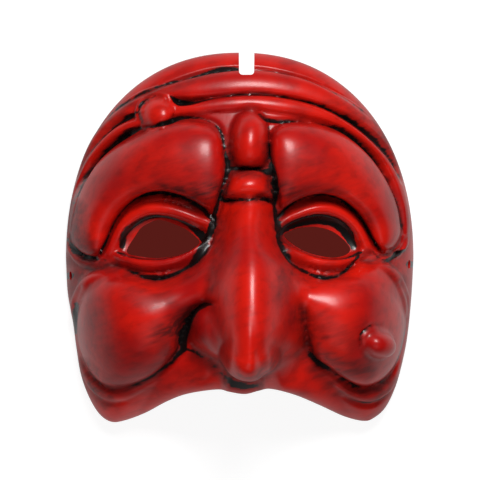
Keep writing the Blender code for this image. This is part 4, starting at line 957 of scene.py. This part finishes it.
@dataclass(frozen=True)
class InnerSheet:
    """The inside of the shell, everywhere at least a wall under the carving, in millimetres."""

    sizes: Measures
    grid: DiscGrid
    cell: float = 0.8
    raster_share: float = 1.1
    bare_height: float = -60.0
    ray_start: float = -50.0
    reach: float = 2.4
    slack: float = 1.6
    spread: float = 0.88
    slant_step: float = 0.06
    widest_slant: float = 1.5

    def lowest(self, outer: np.ndarray, triangles: list[list[int]]) -> np.ndarray:
        """The lowest the outer surface comes over each cell of a raster in plan.

        Args:
            outer: the outer surface's points, in millimetres.
            triangles: its triangles.

        Returns:
            The raster of heights, with a low one wherever there is no surface.
        """
        tree = BVHTree.FromPolygons([Vector(point) for point in outer], triangles)
        count = round(self.sizes.length * self.raster_share / self.cell) // 2 * 2 + 1
        ticks = (np.arange(count) - count // 2) * self.cell
        heights = np.full((count, count), self.bare_height)
        up = Vector((0, 0, 1))
        for row, y in enumerate(ticks):
            for column, x in enumerate(ticks):
                place = tree.ray_cast(Vector((x, y, self.ray_start)), up)[0]
                if place:
                    heights[row, column] = place.z
        return heights

    def worn(self, heights: np.ndarray, radius: float, ball: bool) -> np.ndarray:
        """Bring each cell down to the lowest of its neighbours.

        Args:
            heights: the raster.
            radius: how far the neighbours reach, in millimetres.
            ball: whether they are kept off by a ball of this radius, rather than by a flat disc.

        Returns:
            The lowered raster.
        """
        result = heights - (radius if ball else 0)
        steps = int(radius / self.cell)
        for down in range(-steps, steps + 1):
            for across in range(-steps, steps + 1):
                away = math.hypot(down, across) * self.cell
                if 0 < away <= radius:
                    drop = math.sqrt(radius**2 - away**2) if ball else 0
                    result = np.minimum(result, np.roll(heights, (down, across), (0, 1)) - drop)
        return result

    def points(self, outer: np.ndarray, triangles: list[list[int]]) -> np.ndarray:
        """Lay the sheet under the carving, in to the wall's thickness at the rim.

        Args:
            outer: the outer surface's points, in millimetres.
            triangles: its triangles.

        Returns:
            The inner sheet's points, in millimetres.
        """
        under = self.worn(self.lowest(outer, triangles), self.sizes.wall, ball=True)
        under = np.maximum(self.worn(under, self.reach, ball=False), under - self.slack)
        share, angle = self.grid.polar()
        angles, reaches, rims = Dome(self.sizes).outline()
        step = self.slant_step
        reach, ahead, behind = (
            np.interp(angle + turn, angles, reaches, period=FULL_TURN) for turn in (0, step, -step)
        )
        slant = np.sqrt(1 + ((ahead - behind) / (2 * step * reach)) ** 2)
        wide = self.spread * math.pi / 2
        reach = reach - self.sizes.wall * np.minimum(slant, self.widest_slant)
        radius = reach * np.sin(share * wide) / math.sin(wide)
        x, y = radius * np.cos(angle), radius * np.sin(angle)
        rim = np.interp(angle, angles, rims, period=FULL_TURN)
        z = np.where(self.grid.edge(), rim, np.maximum(self.read(under, x, y), rim))
        return np.column_stack([x, y, z])

    def read(self, raster: np.ndarray, x: np.ndarray, y: np.ndarray) -> np.ndarray:
        """The raster's height at each place, taken evenly from the four cells round it.

        Args:
            raster: the heights.
            x: the places' x, in millimetres.
            y: the places' y, in millimetres.

        Returns:
            One height a place.
        """
        middle = len(raster) // 2
        column, row = x / self.cell + middle, y / self.cell + middle
        left, low = np.floor(column).astype(int), np.floor(row).astype(int)
        right_share, up_share = column - left, row - low
        lower, upper = (
            raster[line, left] * (1 - right_share) + raster[line, left + 1] * right_share
            for line in (low, low + 1)
        )
        return lower * (1 - up_share) + upper * up_share


def deselect() -> None:
    """Leave nothing selected, so that an operator acts on one piece alone."""
    if bpy.context.object and bpy.context.object.mode != "OBJECT":
        bpy.ops.object.mode_set(mode="OBJECT")
    bpy.ops.object.select_all(action="DESELECT")


def choose(piece: bpy.types.Object) -> None:
    """Make one piece the only selected and the active one."""
    deselect()
    piece.select_set(True)
    bpy.context.view_layer.objects.active = piece


@dataclass(frozen=True)
class MaskShell:
    """The mask itself: its sheets, its rim and what is cut through it, in millimetres and degrees."""

    sizes: Measures
    outer_grid: DiscGrid
    inner_grid: DiscGrid
    eye_cutter_heights: Pair = (15.0, 110.0)
    eye_steps: int = 6
    notch_cutter_heights: Pair = (10, 90)
    notch_corner: float = 1.6
    notch_corner_steps: int = 5
    notch_flare: float = 0.35
    notch_overshoot: float = 20.0
    strap_slant: float = 18.0
    strap_sides: int = 24
    smooth_angle: float = 50.0

    def sheet(self, name: str, grid: DiscGrid, points: np.ndarray, facing: Facing) -> bpy.types.Object:
        """Add a grid and bend it to a sheet of the shell.

        Args:
            name: the sheet's name.
            grid: its rows and columns.
            points: where its vertices go, in millimetres, row by row.
            facing: which way it looks.

        Returns:
            The sheet.
        """
        deselect()
        bpy.ops.mesh.primitive_grid_add(
            x_subdivisions=grid.columns - 1, y_subdivisions=grid.rows - 1, size=2, location=(0, 0, 0)
        )
        piece = bpy.context.object
        piece.name = name
        mesh = piece.data
        flat = np.empty(len(mesh.vertices) * 3)
        mesh.vertices.foreach_get("co", flat)
        flat = flat.reshape(-1, 3)
        column, row = (
            np.rint((flat[:, axis] + 1) / 2 * (count - 1)).astype(int)
            for axis, count in enumerate((grid.columns, grid.rows))
        )
        order = row * grid.columns + column
        mesh.vertices.foreach_set("co", (points[order] * MM).ravel())
        self.store(mesh, "sheet_order", order.astype(float))
        if facing is Facing.IN:
            mesh.flip_normals()
        mesh.update()
        return piece

    def store(self, mesh: bpy.types.Mesh, name: str, values: np.ndarray) -> None:
        """Keep one value a vertex under a name that the materials can read."""
        attribute = mesh.attributes.new(name, "FLOAT", "POINT")
        attribute.data.foreach_set("value", values.astype(np.float32))

    def paint(self, piece: bpy.types.Object, **values: np.ndarray) -> None:
        """Give a sheet its painted values, which come row by row.

        Args:
            piece: the sheet.
            values: each value's table, under its name.
        """
        mesh = piece.data
        order = np.empty(len(mesh.vertices))
        mesh.attributes["sheet_order"].data.foreach_get("value", order)
        index = np.rint(order).astype(int)
        for name, table in values.items():
            self.store(mesh, name, table[index])
        mesh.attributes.remove(mesh.attributes["sheet_order"])

    def joined(self, outer: bpy.types.Object, inner: bpy.types.Object) -> bpy.types.Object:
        """Join the sheets and close the rim between them.

        Args:
            outer: the outer sheet.
            inner: the inner sheet.

        Returns:
            The closed shell.
        """
        choose(outer)
        inner.select_set(True)
        bpy.ops.object.join()
        bpy.ops.object.mode_set(mode="EDIT")
        bpy.ops.mesh.select_mode(type="EDGE")
        bpy.ops.mesh.select_all(action="DESELECT")
        bpy.ops.mesh.select_non_manifold(
            extend=False, use_wire=False, use_multi_face=False, use_non_contiguous=False, use_verts=False
        )
        bpy.ops.mesh.bridge_edge_loops()
        bpy.ops.mesh.select_all(action="DESELECT")
        bpy.ops.object.mode_set(mode="OBJECT")
        return outer

    def prism(self, name: str, outline: np.ndarray, low: float, high: float) -> bpy.types.Object:
        """Add a cutter over a plan outline, between two heights.

        Args:
            name: the cutter's name.
            outline: its plan, in millimetres, from the least angle about its middle round to the most.
            low: its lower height, in millimetres.
            high: its upper height, in millimetres.

        Returns:
            The cutter.
        """
        deselect()
        bpy.ops.mesh.primitive_circle_add(vertices=len(outline), radius=1, fill_type="NGON")
        piece = bpy.context.object
        piece.name = name
        angles = np.array([math.atan2(v.co.y, v.co.x) for v in piece.data.vertices])
        for place, vertex in zip(outline, np.argsort(angles)):
            piece.data.vertices[vertex].co = (place[0] * MM, place[1] * MM, low * MM)
        bpy.ops.object.mode_set(mode="EDIT")
        bpy.ops.mesh.select_all(action="SELECT")
        bpy.ops.mesh.extrude_region_move(TRANSFORM_OT_translate={"value": (0, 0, (high - low) * MM)})
        bpy.ops.mesh.select_all(action="SELECT")
        bpy.ops.mesh.normals_make_consistent(inside=False)
        bpy.ops.object.mode_set(mode="OBJECT")
        return piece

    def eye_cutter(self, name: str, outline: Points) -> bpy.types.Object:
        """Add the cutter for the hole through an eye.

        Args:
            name: the cutter's name.
            outline: the hole's outline, in hundredths.

        Returns:
            The cutter.
        """
        line = spline(self.sizes.placed(outline), closed=True, per_span=self.eye_steps)
        centre = line.mean(0)
        start = np.argmin(np.arctan2(line[:, 1] - centre[1], line[:, 0] - centre[0]))
        area = np.sum(line[:, 0] * np.roll(line[:, 1], -1) - line[:, 1] * np.roll(line[:, 0], -1))
        line = np.roll(line, -start, axis=0)
        if area < 0:
            line = np.roll(line[::-1], 1, axis=0)
        return self.prism(name, line, *self.eye_cutter_heights)

    def notch_cutter(self) -> bpy.types.Object:
        """Add the cutter for the notch in the top edge, round in its bottom corners.

        Returns:
            The cutter.
        """
        sizes, corner = self.sizes, self.notch_corner
        bottom = sizes.length / 2 - sizes.notch_depth
        half = sizes.notch_width / 2
        turns = np.linspace(-math.pi / 2, 0, self.notch_corner_steps)
        right = [(half - corner + corner * math.cos(t), corner + corner * math.sin(t)) for t in turns]
        left = [(-x, y) for x, y in reversed(right)]
        top = sizes.notch_depth + self.notch_overshoot
        mouth = half + self.notch_flare
        line = np.array([*left, *right, (mouth, top), (-mouth, top)])
        line = line + np.array([sizes.notch_centre, bottom])
        return self.prism("notch_cutter", line, *self.notch_cutter_heights)

    def strap_cutter(self, side: int, y: float) -> bpy.types.Object:
        """Add the round cutter for the strap hole in one side.

        Args:
            side: -1 for the left and 1 for the right.
            y: the hole's place up the face, in millimetres.

        Returns:
            The cutter.
        """
        sizes = self.sizes
        deselect()
        bpy.ops.mesh.primitive_cylinder_add(
            vertices=self.strap_sides,
            radius=sizes.strap_hole_diameter / 2 * MM,
            depth=2 * sizes.strap_hole_height * MM,
            location=(side * sizes.width / 2 * MM, y * MM, sizes.strap_hole_height * MM),
            rotation=(0, math.radians(90 - side * self.strap_slant), 0),
        )
        return bpy.context.object

    def cut(self, piece: bpy.types.Object, cutter: bpy.types.Object) -> None:
        """Take a cutter out of the mask, and put the cutter away.

        Args:
            piece: the mask.
            cutter: what is taken out of it.
        """
        choose(piece)
        modifier = piece.modifiers.new("cut", "BOOLEAN")
        modifier.operation = "DIFFERENCE"
        modifier.solver = "MANIFOLD"
        modifier.object = cutter
        bpy.ops.object.modifier_apply(modifier=modifier.name)
        bpy.data.objects.remove(cutter)

    def sheets(self) -> tuple[bpy.types.Object, bpy.types.Object]:
        """Add the outer and the inner sheet, both painted.

        Returns:
            The two sheets.
        """
        sculpture = Sculpture(self.sizes, self.outer_grid)
        points = sculpture.surface()
        plan = Dome(self.sizes).points(*self.outer_grid.polar())[:, :2]
        under = InnerSheet(self.sizes, self.inner_grid).points(points, self.outer_grid.triangles())
        outer = self.sheet("mask_shell", self.outer_grid, points, Facing.OUT)
        self.paint(
            outer,
            ink=sculpture.inks(plan),
            smudge=sculpture.smudges(plan),
            hollow=sculpture.hollowness(points),
            inside=np.zeros(len(points)),
        )
        inner = self.sheet("inner_sheet", self.inner_grid, under, Facing.IN)
        blank = np.zeros(len(under))
        self.paint(inner, ink=blank, smudge=blank, hollow=blank, inside=blank + 1)
        return outer, inner

    def build(self) -> bpy.types.Object:
        """Build the shell, painted and cut.

        Returns:
            The finished shell.
        """
        shell = self.joined(*self.sheets())
        for name, hole in (("left_eye_cutter", LEFT_HOLE), ("right_eye_cutter", RIGHT_HOLE)):
            self.cut(shell, self.eye_cutter(name, hole))
        self.cut(shell, self.notch_cutter())
        for side, y in zip((-1, 1), self.sizes.strap_hole_ys):
            self.cut(shell, self.strap_cutter(side, y))
        choose(shell)
        bpy.ops.object.shade_smooth_by_angle(angle=math.radians(self.smooth_angle))
        return shell


@dataclass(frozen=True)
class Grain:
    """One noise on the object's own coordinates, which may be drawn out and turned about Z."""

    scale: float
    detail: float
    stretch: Point = (1, 1, 1)
    turn: float = 0.0


@dataclass(frozen=True)
class Nodes:
    """A small helper that adds and joins the nodes of a material or a world."""

    owner: bpy.types.Material | bpy.types.World

    def add(self, kind: str, **values: object) -> bpy.types.Node:
        """Add a node and set its properties.

        Args:
            kind: Blender's name for the node.
            values: each property's value, under its name.

        Returns:
            The node.
        """
        node = self.owner.node_tree.nodes.new(kind)
        for name, value in values.items():
            setattr(node, name, value)
        return node

    def feed(self, socket: Socket, value: Socket | Point | float) -> None:
        """Join a socket to another, or set it to a colour, a vector or a number.

        Args:
            socket: the socket that takes the value.
            value: another node's socket, or the value itself.
        """
        if isinstance(value, (int, float, tuple)):
            socket.default_value = value
        else:
            self.owner.node_tree.links.new(value, socket)

    def attribute(self, name: str) -> Socket:
        """A painted value of the mesh."""
        return self.add("ShaderNodeAttribute", attribute_name=name).outputs["Fac"]

    def math(self, operation: str, *values: Socket | float) -> Socket:
        """One step of arithmetic.

        Args:
            operation: Blender's name for it.
            values: what goes in, in order.

        Returns:
            The result's socket.
        """
        node = self.add("ShaderNodeMath", operation=operation)
        for socket, value in zip(node.inputs, values):
            self.feed(socket, value)
        return node.outputs[0]

    def times(self, *values: Socket | float) -> Socket:
        """One value times another, and a third added to them if there is one."""
        return self.math("MULTIPLY_ADD" if len(values) == 3 else "MULTIPLY", *values)

    def remap(self, value: Socket, low: float, high: float) -> Socket:
        """0 below low, 1 above high, and a smooth rise between.

        Args:
            value: the value's socket.
            low: where the rise starts.
            high: where it ends.

        Returns:
            The result's socket.
        """
        node = self.add("ShaderNodeMapRange", interpolation_type="SMOOTHSTEP")
        for name, source in (("Value", value), ("From Min", low), ("From Max", high)):
            self.feed(node.inputs[name], source)
        return node.outputs["Result"]

    def noise(self, grain: Grain) -> Socket:
        """The noise of one grain, 0 to 1.

        Args:
            grain: its scale and its shape.

        Returns:
            The noise's socket.
        """
        mapping = self.add("ShaderNodeMapping", vector_type="TEXTURE")
        self.feed(mapping.inputs["Vector"], self.add("ShaderNodeTexCoord").outputs["Object"])
        self.feed(mapping.inputs["Scale"], grain.stretch)
        self.feed(mapping.inputs["Rotation"], (0, 0, grain.turn))
        node = self.add("ShaderNodeTexNoise")
        self.feed(node.inputs["Vector"], mapping.outputs["Vector"])
        self.feed(node.inputs["Scale"], grain.scale)
        self.feed(node.inputs["Detail"], grain.detail)
        return node.outputs["Fac"]

    def mix(self, share: Socket, first: Socket | Point, second: Socket | Point) -> Socket:
        """A mix of two colours, each a socket or red, green and blue.

        Args:
            share: how much of the second.
            first: one colour.
            second: the other.

        Returns:
            The colour's socket.
        """
        node = self.add("ShaderNodeMix", data_type="RGBA")
        self.feed(node.inputs[0], share)
        for socket, colour in ((node.inputs[6], first), (node.inputs[7], second)):
            self.feed(socket, (*colour, 1) if isinstance(colour, tuple) else colour)
        return node.outputs[2]


@dataclass(frozen=True)
class RedLacquer:
    """Glossy red lacquer with black rubbed into its hollows, patches of patina and painted shade, and a raw
    dark inside.
    """

    name: str = "red_lacquer"
    bright: Point = (0.64, 0.009, 0.003)
    deep: Point = (0.36, 0.002, 0.002)
    # The dark of the patina and of the painted shade.
    black: Point = (0.006, 0.004, 0.004)
    patina_and_shade_dark: Point = (0.05, 0.004, 0.004)
    inside: Point = (0.16, 0.02, 0.014)
    patches: Grain = Grain(28, 5)
    grit: Grain = Grain(520, 4)
    streaks: Grain = Grain(420, 4, (6, 1, 2), 0.3)
    mottle: Grain = Grain(230, 6, (2.5, 1, 1), 0.3)
    ripple: Grain = Grain(90, 3)
    deep_range: Pair = (0.35, 0.7)
    black_range: Pair = (0.34, 0.64)
    streak_range: Pair = (0.3, 0.7)
    mottle_range: Pair = (0.45, 0.72)
    ragged_shares: Pair = (0.25, 0.6)
    ragged_middle: float = 0.42
    ragged_smudge: float = 1.8
    ragged_base: float = 0.9
    hollow_share: float = 0.45
    streak_share: float = 0.7
    streak_floor: float = 0.3
    mottle_share: float = 0.24
    most_patina_and_shade: float = 0.9
    polish: float = 0.27
    patch_roughness: float = 0.14
    smudge_roughness: float = 0.3
    black_roughness: float = -0.06
    inside_roughness: float = 0.4
    coat: float = 0.1
    coat_roughness: float = 0.15
    ior: float = 1.45
    bump_strength: float = 0.35
    bump_height: float = 0.0004
    bump_grit: float = 0.3

    def ink(self, nodes: Nodes, grit: Socket, streaks: Socket) -> Socket:
        """The black's share, ragged at the edges of its brush strokes and more so over the patina and
        painted shade.

        Args:
            nodes: the material's helper.
            grit: the fine noise.
            streaks: the drawn out noise.

        Returns:
            The share's socket.
        """
        grit_share, streaks_share = self.ragged_shares
        ragged = nodes.math("ADD", nodes.times(grit, grit_share), nodes.times(streaks, streaks_share))
        brushy = nodes.times(nodes.attribute("smudge"), self.ragged_smudge, self.ragged_base)
        uneven = nodes.times(nodes.math("SUBTRACT", ragged, self.ragged_middle), brushy)
        return nodes.remap(nodes.math("ADD", nodes.attribute("ink"), uneven), *self.black_range)

    def darkness(self, nodes: Nodes, streaks: Socket) -> Socket:
        """The share of dark, from the patches of patina and painted shade, the patina in the hollows and a
        mottle over the whole.

        Args:
            nodes: the material's helper.
            streaks: the drawn out noise.

        Returns:
            The share's socket.
        """
        hollow = nodes.times(nodes.attribute("hollow"), self.hollow_share)
        brushed = nodes.remap(streaks, *self.streak_range)
        strokes = nodes.times(brushed, self.streak_share, self.streak_floor)
        smudged = nodes.times(nodes.attribute("smudge"), strokes)
        mottle = nodes.times(nodes.remap(nodes.noise(self.mottle), *self.mottle_range), self.mottle_share)
        darkened = nodes.math("ADD", nodes.math("ADD", smudged, hollow), mottle)
        return nodes.math("MINIMUM", darkened, self.most_patina_and_shade)

    def roughness(self, nodes: Nodes, patches: Socket, black_share: Socket) -> Socket:
        """The roughness, higher under the patina and painted shade and on the raw inside.

        Args:
            nodes: the material's helper.
            patches: the wide noise.
            black_share: the black's share.

        Returns:
            The roughness's socket.
        """
        rough = nodes.times(patches, self.patch_roughness, self.polish)
        rough = nodes.times(nodes.attribute("smudge"), self.smudge_roughness, rough)
        rough = nodes.times(black_share, self.black_roughness, rough)
        return nodes.times(nodes.attribute("inside"), self.inside_roughness, rough)

    def bump(self, nodes: Nodes, grit: Socket) -> Socket:
        """The normal, over a fine grit and a wider ripple.

        Args:
            nodes: the material's helper.
            grit: the fine noise.

        Returns:
            The normal's socket.
        """
        node = nodes.add("ShaderNodeBump")
        ripple = nodes.math("ADD", nodes.times(grit, self.bump_grit), nodes.noise(self.ripple))
        values = (("Strength", self.bump_strength), ("Distance", self.bump_height), ("Height", ripple))
        for name, value in values:
            nodes.feed(node.inputs[name], value)
        return node.outputs["Normal"]

    def build(self) -> bpy.types.Material:
        """Make the material.

        Returns:
            The red lacquer.
        """
        material = bpy.data.materials.new(self.name)
        material.use_nodes = True
        nodes = Nodes(material)
        patches, grit, streaks = (nodes.noise(grain) for grain in (self.patches, self.grit, self.streaks))
        black_share = self.ink(nodes, grit, streaks)
        red = nodes.mix(nodes.remap(patches, *self.deep_range), self.bright, self.deep)
        patina_and_shade_dark = nodes.mix(self.darkness(nodes, streaks), red, self.patina_and_shade_dark)
        outside = nodes.mix(black_share, patina_and_shade_dark, self.black)
        looks = {
            "Base Color": nodes.mix(nodes.attribute("inside"), outside, self.inside),
            "Roughness": self.roughness(nodes, patches, black_share),
            "Coat Weight": self.coat,
            "Coat Roughness": self.coat_roughness,
            "IOR": self.ior,
            "Normal": self.bump(nodes, grit),
        }
        shader = material.node_tree.nodes["Principled BSDF"]
        for name, value in looks.items():
            nodes.feed(shader.inputs[name], value)
        return material


@dataclass(frozen=True)
class SoftBox:
    """A square light that looks at the mask."""

    name: str
    place: Point
    size: float
    power: float
    mirrored: bool = True

    def build(self, target: Vector) -> None:
        """Add the light, turned to the target.

        Args:
            target: the place it looks at.
        """
        bpy.ops.object.light_add(type="AREA", location=self.place)
        lamp = bpy.context.object
        lamp.name = self.name
        lamp.data.size = self.size
        lamp.data.energy = self.power
        lamp.visible_glossy = self.mirrored
        lamp.rotation_mode = "QUATERNION"
        lamp.rotation_quaternion = (target - Vector(self.place)).to_track_quat("-Z", "Y")


@dataclass(frozen=True)
class Floor:
    """The pale floor just under the rims, with painted shade under the mask: a dark maroon patch, which also
    glows dimly maroon, where its holes look through.
    """

    size: float = 1.2
    height: float = -0.0002
    paper: Point = (0.3, 0.3, 0.3)
    # Painted shade under the mask: its dark colour, its dim maroon glow and how far out it reaches.
    under_mask_shade: Point = (0.08, 0.01, 0.008)
    paper_glow: Point = (1, 1, 1)
    under_mask_shade_glow: Point = (0.11, 0.013, 0.01)
    under_mask_shade_reach: Pair = (0.064, 0.068)
    glow: float = 0.84
    mirrored_glow: float = 0.3
    mirrored_reach: Pair = (0.08, 0.4)
    roughness: float = 0.9

    def material(self) -> bpy.types.Material:
        """Make the glowing paper.

        Returns:
            The floor's material.
        """
        material = bpy.data.materials.new("pale_paper")
        material.use_nodes = True
        nodes = Nodes(material)
        length = nodes.add("ShaderNodeVectorMath", operation="LENGTH")
        nodes.feed(length.inputs[0], nodes.add("ShaderNodeTexCoord").outputs["Object"])
        away = length.outputs["Value"]
        # Painted shade: the floor under the mask is dark and glows dimly maroon, in place of the shade
        # inside the mask.
        outside = nodes.remap(away, *self.under_mask_shade_reach)
        seen = nodes.add("ShaderNodeLightPath").outputs["Is Camera Ray"]
        near = nodes.math("SUBTRACT", 1.0, nodes.remap(away, *self.mirrored_reach))
        mirrored = nodes.times(near, self.mirrored_glow)
        looks = {
            "Roughness": self.roughness,
            "Specular IOR Level": 0.0,
            "Base Color": nodes.mix(outside, self.under_mask_shade, self.paper),
            "Emission Color": nodes.mix(outside, self.under_mask_shade_glow, self.paper_glow),
            "Emission Strength": nodes.math("MAXIMUM", nodes.times(seen, self.glow), mirrored),
        }
        shader = material.node_tree.nodes["Principled BSDF"]
        for name, value in looks.items():
            nodes.feed(shader.inputs[name], value)
        return material

    def build(self) -> None:
        """Add the floor."""
        bpy.ops.mesh.primitive_plane_add(size=self.size, location=(0, 0, self.height))
        floor = bpy.context.object
        floor.name = "pale_floor"
        floor.data.materials.append(self.material())


@dataclass(frozen=True)
class Studio:
    """The floor, the lights, the white world and the camera that looks straight down."""

    picture_width: float = 0.2304
    picture_centre: Pair = (0.00014, -0.00134)
    camera_height: float = 1.5
    target: Point = (0, 0, 0.05)
    lights: tuple[SoftBox, ...] = (
        SoftBox("key_softbox", (0.1, 0.58, 0.85), 0.42, 10.8),
        SoftBox("low_fill", (0.0, -0.7, 0.8), 0.9, 4.8, mirrored=False),
    )
    world_strength: float = 0.04

    def world(self) -> None:
        """Make the world, white to the camera and dim to everything else."""
        world = bpy.data.worlds.new("white_room")
        world.use_nodes = True
        nodes = Nodes(world)
        background = world.node_tree.nodes["Background"]
        seen = nodes.add("ShaderNodeLightPath").outputs["Is Camera Ray"]
        nodes.feed(background.inputs["Color"], (1, 1, 1, 1))
        nodes.feed(background.inputs["Strength"], nodes.math("MAXIMUM", seen, self.world_strength))
        bpy.context.scene.world = world

    def camera(self) -> None:
        """Add the camera, which takes in the same view as the photograph."""
        bpy.ops.object.camera_add(location=(*self.picture_centre, self.camera_height), rotation=(0, 0, 0))
        camera = bpy.context.object
        camera.name = "camera_over_the_face"
        camera.data.type = "ORTHO"
        camera.data.ortho_scale = self.picture_width
        bpy.context.scene.camera = camera
        bpy.context.scene.view_settings.view_transform = "Standard"

    def build(self) -> None:
        """Set the stage."""
        deselect()
        Floor().build()
        for light in self.lights:
            light.build(Vector(self.target))
        self.world()
        self.camera()


FULL_GRIDS = (DiscGrid(301, 289), DiscGrid(93, 89))


def main() -> None:
    """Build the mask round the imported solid, dress it and set the stage."""
    logging.basicConfig(level=logging.INFO, format="%(name)s: %(message)s")
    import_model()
    sizes = Measures.of_node("mask")
    outer_grid, inner_grid = FULL_GRIDS
    shell = MaskShell(sizes, outer_grid, inner_grid).build()
    shell.data.materials.clear()
    shell.data.materials.append(RedLacquer().build())
    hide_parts("mask")
    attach(shell, "root")
    log.info("%s: %d faces", shell.name, len(shell.data.polygons))
    Studio().build()


if __name__ == "__main__":
    main()
